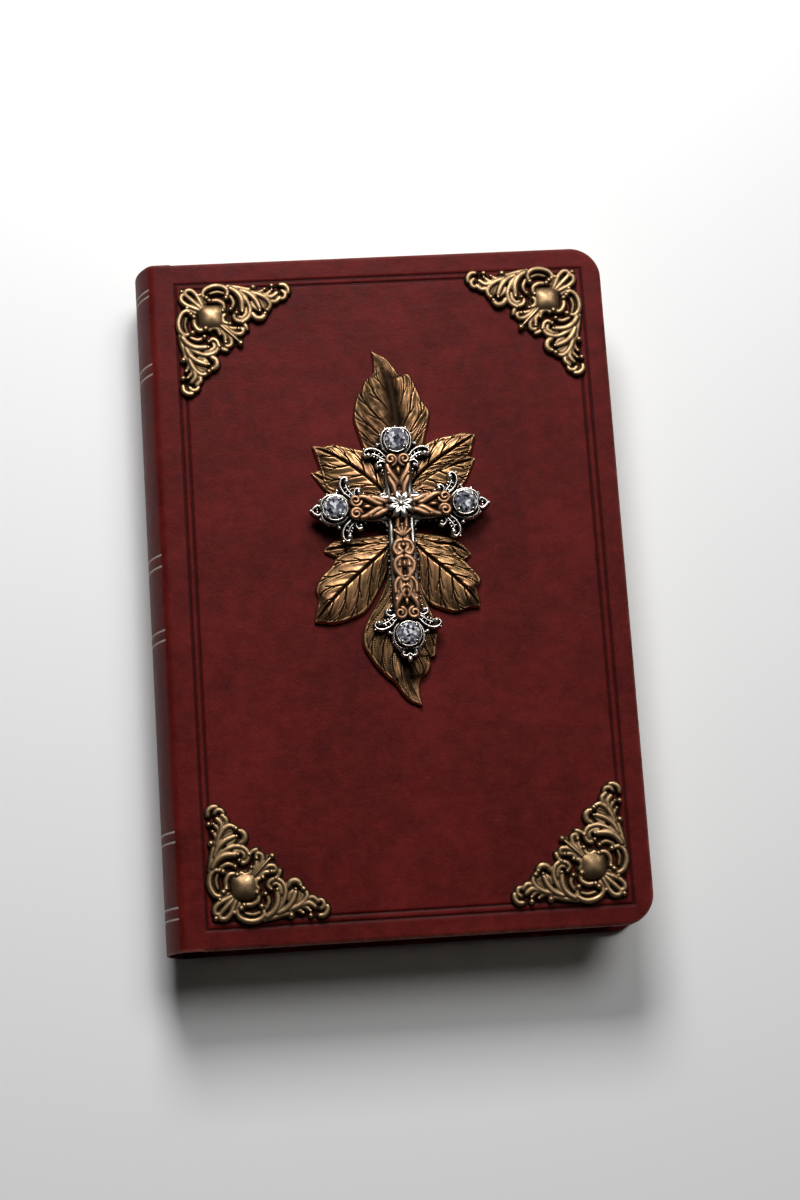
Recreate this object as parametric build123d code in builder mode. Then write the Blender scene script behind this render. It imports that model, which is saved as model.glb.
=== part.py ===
"""A hard-cased prayer book lying on its back cover.

The cover is flexible leather over thin boards, the text block is sewn in sections
onto tapes, and the front board carries four cast corners, two leaf sprays and a
two-layer cross set with crystals.

Frame: millimetres, +X from spine to fore-edge, +Y to the head, +Z up out of the
front cover. The origin is under the middle of the closed book, on the table.
"""

from build123d import *
from math import cos, radians, sqrt
import os

os.makedirs("parts", exist_ok=True)

# ---- driving dimensions ----------------------------------------------------
book_height = 211.0         # head to tail, over the covers
book_width = 145.0          # round of the spine to fore-edge
book_thickness = 30.0       # over both covers, without the metalwork
spine_round = 5.0           # how far the round of the spine stands behind the folds
cover_corner_r = 9.5        # fore-edge corners of the covers
leather = 0.9               # cover leather, skived
board = 2.0                 # grey board under the leather
endpaper = 0.2              # paper pasted inside each cover
flyleaf = 0.3               # the free half of each endpaper
square = 3.5                # how far the covers stand past the pages
fold_gap = 0.3              # leather edge to fold axis
board_setback = 6.5         # fold axis to the boards, where the cover bends

section_count = 10
section_gap = 0.1           # between neighbouring sections
spine_lean = 60.0           # degrees the spine can lean as the book opens
page_corner_r = 6.0

corner_leg = 34.8           # leg of a corner casting
cross_x = 4.5               # centre of the cross, on the front cover
cross_y = 23.6

# ---- derived places --------------------------------------------------------
fore_edge_x = book_width / 2
fold_x = -book_width / 2 + spine_round
half_height = book_height / 2
mid_z = book_thickness / 2
cover_thickness = leather + board + endpaper

page_left_x = fold_x + 1.5
page_right_x = fore_edge_x - square - 0.5
page_half_height = half_height - square
leaf_gap = 0.1
block_low_z = cover_thickness + leaf_gap + flyleaf + leaf_gap
block_high_z = book_thickness - block_low_z
pitch = (block_high_z - block_low_z) / section_count
section_thickness = pitch - section_gap

spine_radius = (mid_z ** 2 + spine_round ** 2) / (2 * spine_round)
spine_centre_x = fold_x + sqrt(spine_radius ** 2 - mid_z ** 2)


def save(part, name):
    """Label a finished piece and write it as parts/NAME.step."""
    part.label = name
    export_step(part, f"parts/{name}.step")


def page_profile(low_x, high_x, half_y, radius):
    """A leaf or board seen from above: square at the spine, rounded at the fore-edge."""
    with BuildSketch(mode=Mode.PRIVATE) as flat:
        with Locations(((low_x + high_x) / 2, 0)):
            Rectangle(high_x - low_x, 2 * half_y)
        fillet(flat.vertices().group_by(Axis.X)[-1], radius)
    return flat.sketch


# ---- covers ----------------------------------------------------------------
# Each cover is a leather tray, open towards the pages, round a board, with the
# pasted endpaper closing it. The back cover is the front one upside down.
def cover_pieces(side, outer_z, up):
    """Skin, board and pastedown of one cover. up is +1 when the outer face looks up."""
    outer = page_profile(fold_x + fold_gap, fore_edge_x, half_height, cover_corner_r)
    inner = page_profile(
        fold_x + board_setback, fore_edge_x - leather, half_height - leather,
        cover_corner_r - leather,
    )
    joint_x = fold_x + fold_gap
    with BuildPart() as skin:
        with BuildSketch(Plane.XY.offset(outer_z)):
            add(outer)
        extrude(amount=-up * (leather + board))
        with BuildSketch(Plane.XY.offset(outer_z - up * leather)):
            add(inner)
            with Locations(((joint_x + fold_x + board_setback) / 2, 0)):
                Rectangle(board_setback - fold_gap + 0.02, book_height + 2)
        extrude(amount=-up * board, mode=Mode.SUBTRACT)
    save(skin.part, f"{side}_cover_skin")

    with BuildPart() as stiffener:
        with BuildSketch(Plane.XY.offset(outer_z - up * leather)):
            add(inner)
        extrude(amount=-up * board)
    save(stiffener.part, f"{side}_cover_board")

    with BuildPart() as pastedown:
        with BuildSketch(Plane.XY.offset(outer_z - up * (leather + board))):
            add(page_profile(fold_x + board_setback, fore_edge_x - 3.0, half_height - 3.0, 7.0))
        extrude(amount=-up * endpaper)
    save(pastedown.part, f"{side}_pastedown")


cover_pieces("front", book_thickness, 1)
cover_pieces("back", 0, -1)

# ---- flyleaves -------------------------------------------------------------
# name: underside, and how far the spine edge stays out of the gutter. The back one
# is pasted down along the gutter, where the lowest section comes down on it.
flyleaves = {
    "back_flyleaf": (cover_thickness + leaf_gap, 3.0),
    "front_flyleaf": (book_thickness - cover_thickness - leaf_gap - flyleaf, 0.0),
}
for name, (low_z, gutter) in flyleaves.items():
    with BuildPart() as leaf:
        with BuildSketch(Plane.XY.offset(low_z)):
            add(page_profile(
                page_left_x + gutter, page_right_x, page_half_height, page_corner_r
            ))
        extrude(amount=flyleaf)
    save(leaf.part, name)

# ---- text block: sewn sections ---------------------------------------------
# A section turns about its sewn fold. As the spine leans over by spine_lean, the
# folds come closer together and the sections fan out by equal steps, so each one
# is pinched at its fold by what its neighbours then take up.
fan_step = radians(spine_lean) / (section_count + 1)
for i in range(1, section_count + 1):
    lag = radians(spine_lean) * (1 - i / (section_count + 1))
    fold_thickness = pitch * cos(lag) - 2 * section_gap
    pinch = 1.25 * pitch * (1 - cos(lag)) / fan_step + 2.0
    section_z = block_low_z + pitch * (i - 0.5)
    half, half_fold = section_thickness / 2, fold_thickness / 2
    with BuildPart() as section:
        with BuildSketch(Plane.XZ):
            with BuildLine():
                Polyline(
                    (page_left_x, section_z - half_fold),
                    (page_left_x + pinch, section_z - half),
                    (page_right_x, section_z - half),
                    (page_right_x, section_z + half),
                    (page_left_x + pinch, section_z + half),
                    (page_left_x, section_z + half_fold),
                    close=True,
                )
            make_face()
        extrude(amount=page_half_height, both=True)
        upright = section.edges().filter_by(Axis.Z).group_by(Axis.X)[-1]
        fillet(upright, page_corner_r)
    save(section.part, f"section_{i:02d}")

# ---- spine -----------------------------------------------------------------


def spine_shell(outer_r, thickness, half_y, limit_x):
    """A strip of the round spine, cut off square at limit_x."""
    reach = 2 * spine_radius
    with BuildPart() as shell:
        with BuildSketch(Plane.XZ.offset(-half_y)):
            with Locations((spine_centre_x, mid_z)):
                Circle(outer_r)
                Circle(outer_r - thickness, mode=Mode.SUBTRACT)
            with Locations((limit_x + reach, mid_z)):
                Rectangle(2 * reach, 2 * reach, mode=Mode.SUBTRACT)
        extrude(amount=2 * half_y)
    return shell.part


save(spine_shell(spine_radius, leather, half_height, fold_x), "spine_skin")

inlay_thickness = 0.6
inlay_edge_x = fold_x - 0.8
save(
    spine_shell(spine_radius - leather, inlay_thickness, page_half_height, inlay_edge_x),
    "spine_inlay",
)

# the mull is the open cloth glued over the sewn folds; the tapes cross under it
mull_x = fold_x + 0.1
mull_thickness = 0.35
tape_thickness = 0.3
block_height = block_high_z - block_low_z
with BuildPart() as mull:
    with BuildSketch(Plane.XY.offset(block_low_z)):
        with Locations((mull_x + mull_thickness / 2, 0)):
            Rectangle(mull_thickness, 2 * page_half_height - 16)
    extrude(amount=block_height)
save(mull.part, "spine_mull")

tape_width = 12.0
tape_spacing = 38.0
with BuildPart() as tapes:
    with BuildSketch(Plane.XY.offset(block_low_z)):
        with Locations((mull_x + mull_thickness + tape_thickness / 2, 0)):
            with GridLocations(1, tape_spacing, 1, 4):
                Rectangle(tape_thickness, tape_width)
    extrude(amount=block_height)
save(tapes.part, "sewing_tapes")

# a headband is a rolled cord on a flat tail, at each end of the sewn folds
band_r = 0.8
for name, end in (("head_band", 1), ("tail_band", -1)):
    band_y = end * (page_half_height + band_r + 0.15)
    with BuildPart() as band:
        with BuildSketch(Plane.XY.offset(block_low_z + 0.6)):
            with Locations((page_left_x + 0.9, band_y)):
                Circle(band_r)
            with Locations((page_left_x - 0.1, band_y)):
                Rectangle(1.6, 0.5)
        extrude(amount=block_height - 1.2)
    save(band.part, name)

# ---- corner castings -------------------------------------------------------
# One pattern, drawn with u and v running inwards along the two legs from the
# outer corner, and turned to each corner of the board.
corner_plate = 2.0
boss_r = 4.6
boss_rise = 3.6
boss_at = 10.2
boss_sphere_r = (boss_r ** 2 + boss_rise ** 2) / (2 * boss_rise)
corners = {
    "corner_head_spine": (-59.5, 97.5, 1, -1),
    "corner_head_fore": (64.9, 98.6, -1, -1),
    "corner_tail_spine": (-58.7, -97.8, 1, 1),
    "corner_tail_fore": (65.0, -97.8, -1, 1),
}
for name, (corner_x, corner_y, turn_x, turn_y) in corners.items():

    def at(u, v):
        """A place on the casting, given along its two legs."""
        return (corner_x + turn_x * u, corner_y + turn_y * v)

    with BuildPart() as corner:
        with BuildSketch(Plane.XY.offset(book_thickness)):
            with BuildLine():
                Line(at(2.5, 2.5), at(8, 0.4))
                Line(at(8, 0.4), at(corner_leg, 1.5))
                ThreePointArc(at(corner_leg, 1.5), at(corner_leg - 3, 7), at(26.5, 9.5))
                ThreePointArc(at(26.5, 9.5), at(24.5, 12.5), at(20.5, 13))
                ThreePointArc(at(20.5, 13), at(20.6, 20.6), at(13, 20.5))
                ThreePointArc(at(13, 20.5), at(12.5, 24.5), at(9.5, 26.5))
                ThreePointArc(at(9.5, 26.5), at(7, corner_leg - 3), at(1.5, corner_leg))
                Line(at(1.5, corner_leg), at(0.4, 8))
                Line(at(0.4, 8), at(2.5, 2.5))
            make_face()
        extrude(amount=corner_plate)
        cap_z = book_thickness + boss_rise - boss_sphere_r
        boss_x, boss_y = at(boss_at, boss_at)
        with Locations((boss_x, boss_y, cap_z)):
            Sphere(boss_sphere_r)
        split(bisect_by=Plane.XY.offset(book_thickness), keep=Keep.TOP)
    save(corner.part, name)

# ---- leaf sprays -----------------------------------------------------------
# Each outline is a run of (through, to) arcs; a through of None is a straight.
leaf_rise = 3.6
upper_tip = (-0.9, 74.0)
upper_edge = [
    ((8.0, 65.5), (15.7, 54.0)),
    ((15.2, 48.0), (13.5, 44.0)),
    ((21.0, 46.6), (29.3, 46.5)),
    ((29.4, 43.0), (27.6, 40.2)),
    (None, (28.8, 38.8)),
    ((27.5, 33.0), (22.0, 28.5)),
    ((13.0, 27.0), (cross_x, cross_y + 1.0)),
    ((-4.0, 27.5), (-17.5, 30.5)),
    (None, (-21.3, 36.3)),
    (None, (-20.0, 40.0)),
    (None, (-20.9, 44.5)),
    ((-13.0, 45.6), (-5.3, 42.8)),
    ((-8.3, 51.5), (-6.2, 60.0)),
    ((-2.8, 66.5), upper_tip),
]
lower_tip = (7.4, -37.0)
lower_edge = [
    ((-1.5, -30.0), (-8.9, -18.0)),
    ((-9.0, -12.5), (-7.5, -8.0)),
    ((-15.0, -10.7), (-23.0, -9.8)),
    ((-22.7, -2.0), (-17.0, 7.2)),
    (None, (-15.3, 9.8)),
    ((-19.2, 12.0), (-13.0, 15.0)),
    ((-2.5, 17.0), (cross_x, cross_y - 1.0)),
    ((8.5, 17.0), (14.0, 15.0)),
    ((21.0, 13.4), (25.2, 8.8)),
    (None, (23.3, 6.9)),
    ((27.5, 1.5), (26.7, -7.6)),
    ((19.0, -8.7), (11.0, -6.0)),
    ((14.2, -12.0), (12.6, -21.6)),
    (None, (10.6, -22.4)),
    ((10.2, -26.0), (7.2, -28.4)),
    (None, lower_tip),
]
sprays = {
    "leaf_spray_upper": (upper_tip, upper_edge),
    "leaf_spray_lower": (lower_tip, lower_edge),
}
for name, (tip, edge) in sprays.items():
    with BuildPart() as spray:
        with BuildSketch(Plane.XY.offset(book_thickness)):
            with BuildLine():
                start = tip
                for through, end in edge:
                    if through is None:
                        Line(start, end)
                    else:
                        ThreePointArc(start, through, end)
                    start = end
            make_face()
        extrude(amount=leaf_rise)
    save(spray.part, name)

# ---- cross -----------------------------------------------------------------
# The silver base lies over the leaves, the bronze scrollwork over the base, and
# a crystal in a cup closes the end of each arm.
base_z = book_thickness + leaf_rise
base_thickness = 2.6
overlay_z = base_z + base_thickness
overlay_thickness = 2.2
flower_z = overlay_z + overlay_thickness

arm_ends = {
    "top": (0.0, 20.5, 0, 1),
    "left": (-19.7, 0.1, -1, 0),
    "right": (19.7, 0.1, 1, 0),
    "bottom": (0.0, -39.4, 0, -1),
}
arm_width = 7.0
end_lobe_r = 5.0
ear_r = 2.6
finial_r = 1.5
finial_reach = 6.2

with BuildPart() as cross_base:
    with BuildSketch(Plane.XY.offset(base_z)):
        for end_x, end_y, out_x, out_y in arm_ends.values():
            reach = abs(end_x) + abs(end_y)
            with Locations((cross_x + end_x / 2, cross_y + end_y / 2)):
                if out_x:
                    Rectangle(reach, arm_width)
                else:
                    Rectangle(arm_width, reach)
            with Locations((cross_x + end_x, cross_y + end_y)):
                Circle(end_lobe_r)
            for side in (-1, 1):
                # the scrolled ear beside each crystal
                ear_x = end_x - 3.2 * out_x + side * 7.2 * out_y
                ear_y = end_y - 3.2 * out_y + side * 7.2 * out_x
                with Locations((cross_x + ear_x, cross_y + ear_y)):
                    Circle(ear_r)
                # and the web that carries it
                web_x = end_x - 2.4 * out_x + side * 4.2 * out_y
                web_y = end_y - 2.4 * out_y + side * 4.2 * out_x
                with Locations((cross_x + web_x, cross_y + web_y)):
                    Circle(ear_r)
            if out_y < 1:
                with Locations((
                    cross_x + end_x + finial_reach * out_x,
                    cross_y + end_y + finial_reach * out_y,
                )):
                    Circle(finial_r)
    extrude(amount=base_thickness)
save(cross_base.part, "cross_base")

overlay_width = 4.6
with BuildPart() as overlay:
    with BuildSketch(Plane.XY.offset(overlay_z)):
        for end_x, end_y, out_x, out_y in arm_ends.values():
            tip_x = end_x - 5.4 * out_x
            tip_y = end_y - 5.4 * out_y
            reach = abs(tip_x) + abs(tip_y)
            with Locations((cross_x + tip_x / 2, cross_y + tip_y / 2)):
                if out_x:
                    Rectangle(reach, overlay_width)
                else:
                    Rectangle(overlay_width, reach)
            for side in (-1, 1):
                # a pair of small volutes ends each arm
                volute_x = tip_x - 1.6 * out_x + side * 2.0 * out_y
                volute_y = tip_y - 1.6 * out_y + side * 2.0 * out_x
                with Locations((cross_x + volute_x, cross_y + volute_y)):
                    Circle(1.7)
    extrude(amount=overlay_thickness)
save(overlay.part, "cross_overlay")

petal_count = 8
with BuildPart() as flower:
    with BuildSketch(Plane.XY.offset(flower_z)):
        with Locations((cross_x, cross_y)):
            Circle(1.6)
            with PolarLocations(2.3, petal_count):
                Ellipse(1.3, 0.8)
    extrude(amount=1.7)
    with Locations((cross_x, cross_y, flower_z + 1.2)):
        Cylinder(0.9, 1.2, align=(Align.CENTER, Align.CENTER, Align.MIN))
save(flower.part, "cross_flower")

# ---- crystals and their cups -----------------------------------------------
cup_r = 4.0
cup_wall = 0.45
cup_depth = 1.6
stone_r = cup_r - cup_wall - 0.05
stone_low = 0.35
crown_rise = 1.25
for name, (end_x, end_y, out_x, out_y) in arm_ends.items():
    seat = Plane(
        origin=(cross_x + end_x, cross_y + end_y, overlay_z),
        x_dir=(1, 0, 0), z_dir=(0, -1, 0),
    )
    upright = Axis(seat.origin, (0, 0, 1))
    with BuildPart() as cup:
        with BuildSketch(seat):
            with BuildLine():
                Polyline(
                    (0, 0), (cup_r, 0), (cup_r, cup_depth),
                    (cup_r - cup_wall, cup_depth), (cup_r - cup_wall, stone_low),
                    (0, stone_low), close=True,
                )
            make_face()
        revolve(axis=upright)
    save(cup.part, f"crystal_cup_{name}")

    with BuildPart() as stone:
        with BuildSketch(seat):
            with BuildLine():
                Polyline(
                    (0, stone_low), (stone_r * 0.45, stone_low),
                    (stone_r, cup_depth - 0.1), (stone_r, cup_depth + 0.1),
                    (stone_r * 0.55, cup_depth + crown_rise),
                    (0, cup_depth + crown_rise), close=True,
                )
            make_face()
        revolve(axis=upright)
    save(stone.part, f"crystal_{name}")
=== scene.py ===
"""The looks of a hard-cased prayer book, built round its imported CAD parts.

Shapes are worked out in millimetres in the row frame (+X from spine to fore-edge,
+Y to the head, +Z out of the front cover) and written to meshes in metres.
"""

import math

import bmesh
import bpy
import numpy as np
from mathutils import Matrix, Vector


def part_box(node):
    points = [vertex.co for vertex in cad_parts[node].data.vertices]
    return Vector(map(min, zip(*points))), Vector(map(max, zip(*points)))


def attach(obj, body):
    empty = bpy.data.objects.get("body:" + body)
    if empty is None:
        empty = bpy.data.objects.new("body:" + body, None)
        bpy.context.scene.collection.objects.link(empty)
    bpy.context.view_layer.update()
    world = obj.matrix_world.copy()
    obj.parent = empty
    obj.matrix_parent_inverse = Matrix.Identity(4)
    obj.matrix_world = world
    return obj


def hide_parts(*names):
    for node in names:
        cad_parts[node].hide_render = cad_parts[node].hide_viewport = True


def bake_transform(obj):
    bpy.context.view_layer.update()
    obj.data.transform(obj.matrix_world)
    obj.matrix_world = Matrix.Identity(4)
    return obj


MM = 0.001
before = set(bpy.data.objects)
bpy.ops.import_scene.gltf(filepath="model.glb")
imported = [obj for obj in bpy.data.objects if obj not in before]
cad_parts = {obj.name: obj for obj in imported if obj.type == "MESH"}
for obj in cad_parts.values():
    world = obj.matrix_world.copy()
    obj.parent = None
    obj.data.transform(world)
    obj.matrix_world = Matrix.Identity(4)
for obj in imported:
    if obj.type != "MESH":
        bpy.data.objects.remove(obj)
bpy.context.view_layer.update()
rng = np.random.default_rng(7)


# ---- places taken from the frame --------------------------------------------
def box_mm(node):
    """Lowest and highest corner of a CAD node, in millimetres."""
    low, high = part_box(node)
    return np.array(low) / MM, np.array(high) / MM


_, cover_high = box_mm("front_cover_skin")
spine_low, spine_high = box_mm("spine_skin")
fore_edge = cover_high[0]
half_height = cover_high[1]
top_z = cover_high[2]
mid_z = top_z / 2
fold_x = spine_high[0]
spine_back = spine_low[0]
spine_round = fold_x - spine_back
spine_r = (mid_z ** 2 + spine_round ** 2) / (2 * spine_round)
spine_centre = np.array([spine_back + spine_r, mid_z])


# ---- mesh helpers -----------------------------------------------------------
def new_object(name, verts, faces, sharp=40.0):
    """A mesh object from millimetre points, smooth except at edges past the sharp angle."""
    mesh = bpy.data.meshes.new(name)
    mesh.from_pydata((np.asarray(verts, float) * MM).tolist(), [], [list(map(int, f)) for f in faces])
    mesh.validate()
    mesh.polygons.foreach_set("use_smooth", [True] * len(mesh.polygons))
    mesh.update()
    mesh.set_sharp_from_angle(angle=math.radians(sharp))
    obj = bpy.data.objects.new(name, mesh)
    bpy.context.scene.collection.objects.link(obj)
    return obj


def keep_rest(obj):
    """Store where each point is at rest, so that a pattern read from it would stay put if the piece were
    bent.
    """
    co = np.empty(len(obj.data.vertices) * 3, np.float32)
    obj.data.vertices.foreach_get("co", co)
    attribute = obj.data.attributes.new("rest", "FLOAT_VECTOR", "POINT")
    attribute.data.foreach_set("vector", co)


def keep_numbers(obj, name, values):
    """Store one number a point, for a material to read."""
    attribute = obj.data.attributes.new(name, "FLOAT", "POINT")
    attribute.data.foreach_set("value", np.asarray(values, np.float32))


def grid_faces(rows, columns, start=0, flip=False):
    """Quads over a grid of points stored row by row."""
    r, c = np.meshgrid(np.arange(rows - 1), np.arange(columns - 1), indexing="ij")
    a = (start + r * columns + c).ravel()
    quads = np.stack([a, a + 1, a + columns + 1, a + columns], 1)
    return quads[:, ::-1] if flip else quads


def smooth_path(points, step):
    """Points every step along a Catmull-Rom curve through the given ones, any number of columns."""
    p = np.asarray(points, float)
    if len(p) == 2:
        p = np.array([p[0], (p[0] + p[1]) / 2, p[1]])
    p = np.vstack([2 * p[0] - p[1], p, 2 * p[-1] - p[-2]])
    out = []
    for i in range(1, len(p) - 2):
        length = np.linalg.norm((p[i + 1] - p[i])[:3])
        t = np.linspace(0, 1, max(2, int(round(length / step)) + 1))[:-1, None]
        a, b, c, d = p[i - 1], p[i], p[i + 1], p[i + 2]
        out.append(0.5 * (2 * b + (c - a) * t + (2 * a - 5 * b + 4 * c - d) * t ** 2
                          + (3 * b - a - 3 * c + d) * t ** 3))
    out.append(p[-2][None])
    return np.vstack(out)


# ---- materials --------------------------------------------------------------
class Shader:
    """A material with short calls that add nodes and join them."""

    def __init__(self, name, colour, roughness, metallic=0.0):
        self.material = bpy.data.materials.new(name)
        self.material.use_nodes = True
        self.tree = self.material.node_tree
        self.surface = self.tree.nodes["Principled BSDF"]
        self.surface.inputs["Base Color"].default_value = (*colour, 1)
        self.surface.inputs["Roughness"].default_value = roughness
        self.surface.inputs["Metallic"].default_value = metallic

    def node(self, kind, settings=None, **inputs):
        """A new node; inputs are numbers, colours or the sockets of other nodes."""
        made = self.tree.nodes.new(kind)
        for key, value in (settings or {}).items():
            setattr(made, key, value)
        for key, value in inputs.items():
            self.feed(made.inputs[key.replace("_", " ")], value)
        return made

    def feed(self, socket, value):
        """Sets a socket to a value, or links it to another socket."""
        if isinstance(value, bpy.types.NodeSocket):
            self.tree.links.new(value, socket)
        elif isinstance(value, tuple) and socket.type == "RGBA":
            socket.default_value = (*value[:3], 1)
        else:
            socket.default_value = value

    def place(self, rest=False, scale=(1, 1, 1)):
        """Coordinates in millimetres that stay with the surface, stretched by scale."""
        if rest:
            source = self.node("ShaderNodeAttribute", {"attribute_name": "rest"}).outputs["Vector"]
        else:
            source = self.node("ShaderNodeTexCoord").outputs["Object"]
        mapped = self.node("ShaderNodeMapping", Vector=source)
        mapped.inputs["Scale"].default_value = tuple(s / MM for s in scale)
        return mapped.outputs["Vector"]

    def noise(self, place, scale, detail=4.0, roughness=0.6, distortion=0.0):
        """Noise from 0 to 1, scale waves to the millimetre."""
        made = self.node("ShaderNodeTexNoise", Vector=place, Scale=scale, Detail=detail,
                         Roughness=roughness, Distortion=distortion)
        return made.outputs["Fac"]

    def cells(self, place, scale, feature="F1"):
        """Distance in a Voronoi pattern."""
        made = self.node("ShaderNodeTexVoronoi", {"feature": feature}, Vector=place, Scale=scale)
        return made.outputs["Distance"]

    def range(self, value, low, high, to_low=0.0, to_high=1.0):
        """Value moved from low..high to to_low..to_high, and clamped."""
        made = self.node("ShaderNodeMapRange", {"clamp": True}, Value=value)
        limits = {"From Min": low, "From Max": high, "To Min": to_low, "To Max": to_high}
        for key, number in limits.items():
            made.inputs[key].default_value = number
        return made.outputs["Result"]

    def math(self, operation, a, b):
        """One operation on two values."""
        made = self.node("ShaderNodeMath", {"operation": operation})
        self.feed(made.inputs[0], a)
        self.feed(made.inputs[1], b)
        return made.outputs[0]

    def mix(self, factor, a, b):
        """Two colours mixed."""
        made = self.node("ShaderNodeMix", {"data_type": "RGBA"})
        self.feed(made.inputs[0], factor)
        self.feed(made.inputs[6], a)
        self.feed(made.inputs[7], b)
        return made.outputs[2]

    def bump(self, height, distance, strength=1.0, under=None):
        """A bump of height (0 to 1) times distance in millimetres."""
        made = self.node("ShaderNodeBump", Height=height, Distance=distance * MM, Strength=strength)
        if under is not None:
            self.feed(made.inputs["Normal"], under)
        return made.outputs["Normal"]

    def set(self, **inputs):
        """Feeds the shader's own sockets."""
        for key, value in inputs.items():
            self.feed(self.surface.inputs[key.replace("_", " ")], value)


def leather_material():
    """Burgundy imitation leather: mottled, finely grained, darker in its tooled lines, lighter at its edges
    from wear and a painted sheen, and with the spine's lines stamped in pale foil."""
    s = Shader("burgundy_leather", (0.1, 0.015, 0.018), 0.42)
    place = s.place(rest=True)
    cloud = s.noise(place, 0.035, 8, 0.66, 0.6)
    blotch = s.noise(place, 0.20, 7, 0.72, 0.4)
    speck = s.noise(place, 2.2, 3, 0.6)
    tone = s.math("ADD", s.math("MULTIPLY", cloud, 0.5), s.math("MULTIPLY", blotch, 0.5))
    colour = s.mix(s.range(tone, 0.40, 0.62), (0.054, 0.0029, 0.0024), (0.120, 0.0088, 0.0074))
    colour = s.mix(s.range(speck, 0.40, 0.72, 0.0, 0.30), colour, (0.150, 0.0170, 0.0145))
    thread = s.noise(s.place(rest=True, scale=(0.35, 2.4, 1)), 0.9, 5, 0.7, 0.8)
    scuff = s.math("MULTIPLY", s.range(thread, 0.60, 0.74), s.range(blotch, 0.50, 0.66))
    colour = s.mix(s.math("MULTIPLY", scuff, 0.40), colour, (0.28, 0.085, 0.070))
    pressed = s.node("ShaderNodeAttribute", {"attribute_name": "tooled"}).outputs["Fac"]
    colour = s.mix(s.range(pressed, 0.05, 0.85, 0.0, 0.80), colour, (0.014, 0.0026, 0.0024))
    # edges painted lighter: partly real wear, partly a painted sheen on the rounded edges
    edge_wear_and_sheen = s.node("ShaderNodeAttribute", {"attribute_name": "edge_wear_and_sheen"}).outputs["Fac"]
    edge_wear_and_sheen = s.math("MULTIPLY", edge_wear_and_sheen, s.range(blotch, 0.36, 0.60, 0.15, 0.75))
    colour = s.mix(edge_wear_and_sheen, colour, (0.30, 0.115, 0.080))
    foil = s.node("ShaderNodeAttribute", {"attribute_name": "stamped"}).outputs["Fac"]
    foil = s.math("MULTIPLY", s.range(foil, 0.25, 0.60), s.range(speck, 0.30, 0.50, 0.45, 0.95))
    colour = s.mix(foil, colour, (0.50, 0.41, 0.35))
    creases = s.noise(s.place(rest=True, scale=(0.5, 1.7, 1)), 0.16, 5, 0.75, 1.2)
    crease = s.range(s.math("ABSOLUTE", s.math("SUBTRACT", creases, 0.5), 0), 0.0, 0.03)
    grain = s.cells(place, 1.35, "SMOOTH_F1")
    pores = s.noise(place, 4.5, 3, 0.6)
    under = s.bump(s.noise(place, 0.5, 5, 0.65), 0.05)
    under = s.bump(crease, 0.035, 0.5, under)
    under = s.bump(grain, 0.035, 0.8, under)
    under = s.bump(pores, 0.018, 0.8, under)
    s.set(Base_Color=colour, Normal=under)
    s.set(Roughness=s.range(s.math("ADD", blotch, speck), 0.7, 1.3, 0.40, 0.56))
    s.surface.inputs["Specular IOR Level"].default_value = 0.07
    return s.material


def antique_metal(name, bright, dark, roughness=0.3, low=None, high=None, patina_and_shade=False, warm=None):
    """Cast metal, dark in its hollows and rubbed bright where it stands out.
    low and high are the heights between which the patina gives way to bright metal."""
    s = Shader(name, bright, roughness, 1.0)
    place = s.place()
    shade = s.node("ShaderNodeAmbientOcclusion", {"samples": 8}, Distance=1.4 * MM).outputs["AO"]
    standing = s.range(s.node("ShaderNodeNewGeometry").outputs["Pointiness"], 0.45, 0.56)
    blotch = s.noise(place, 0.30, 5, 0.6)
    lit = s.math("MULTIPLY", s.range(shade, 0.30, 0.95), s.range(standing, 0.0, 1.0, 0.30, 1.0))
    if low is not None:
        height = s.node("ShaderNodeSeparateXYZ", Vector=place).outputs["Z"]
        lit = s.math("MULTIPLY", lit, s.range(height, low, high, 0.12, 1.0))
    # a stored number a point darkens the metal: patina in the hollows and, on the leaves, painted shade over
    # whole halves and at the foot of their walls
    if patina_and_shade:
        sunk = s.node("ShaderNodeAttribute", {"attribute_name": "patina_and_shade"}).outputs["Fac"]
        lit = s.math("MULTIPLY", lit, s.range(sunk, 0.15, 0.85, 1.0, 0.05))
    lit = s.math("SUBTRACT", lit, s.range(blotch, 0.42, 0.72, 0.0, 0.34))
    lit = s.math("POWER", s.range(lit, 0.02, 0.72), 1.5)
    metal = bright
    if warm is not None:
        metal = s.mix(s.range(s.noise(place, 0.09, 3, 0.5), 0.46, 0.60), bright, warm)
    s.set(Base_Color=s.mix(lit, dark, metal))
    s.set(Roughness=s.range(lit, 0.0, 1.0, 0.60, roughness))
    pits = s.noise(place, 5.0, 4, 0.65)
    s.set(Normal=s.bump(pits, 0.03, 0.6))
    return s.material


def paper_material(name, colour, rest):
    """Uncoated paper with fibres and a little foxing."""
    s = Shader(name, colour, 0.85)
    place = s.place(rest=rest)
    fibre = s.noise(s.place(rest=rest, scale=(3.0, 0.6, 3.0)), 1.6, 4, 0.7)
    cloud = s.noise(place, 0.05, 5, 0.6)
    darker = tuple(c * f for c, f in zip(colour, (0.86, 0.80, 0.70)))
    s.set(Base_Color=s.mix(s.range(s.math("ADD", fibre, cloud), 0.8, 1.35), colour, darker))
    s.set(Normal=s.bump(fibre, 0.02, 0.7))
    return s.material


def woven_material(name, colour, second, pitch):
    """Two sets of threads crossing, pitch millimetres apart."""
    s = Shader(name, colour, 0.8)
    place = s.place()
    waves = []
    for axis in ("Y", "Z"):
        wave = s.node("ShaderNodeTexWave", {"bands_direction": axis}, Vector=place, Scale=0.314 / pitch,
                      Distortion=0.6)
        waves.append(wave.outputs["Fac"])
    weave = s.math("MAXIMUM", waves[0], waves[1])
    s.set(Base_Color=s.mix(weave, second, colour), Normal=s.bump(weave, 0.12, 0.9))
    return s.material


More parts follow.
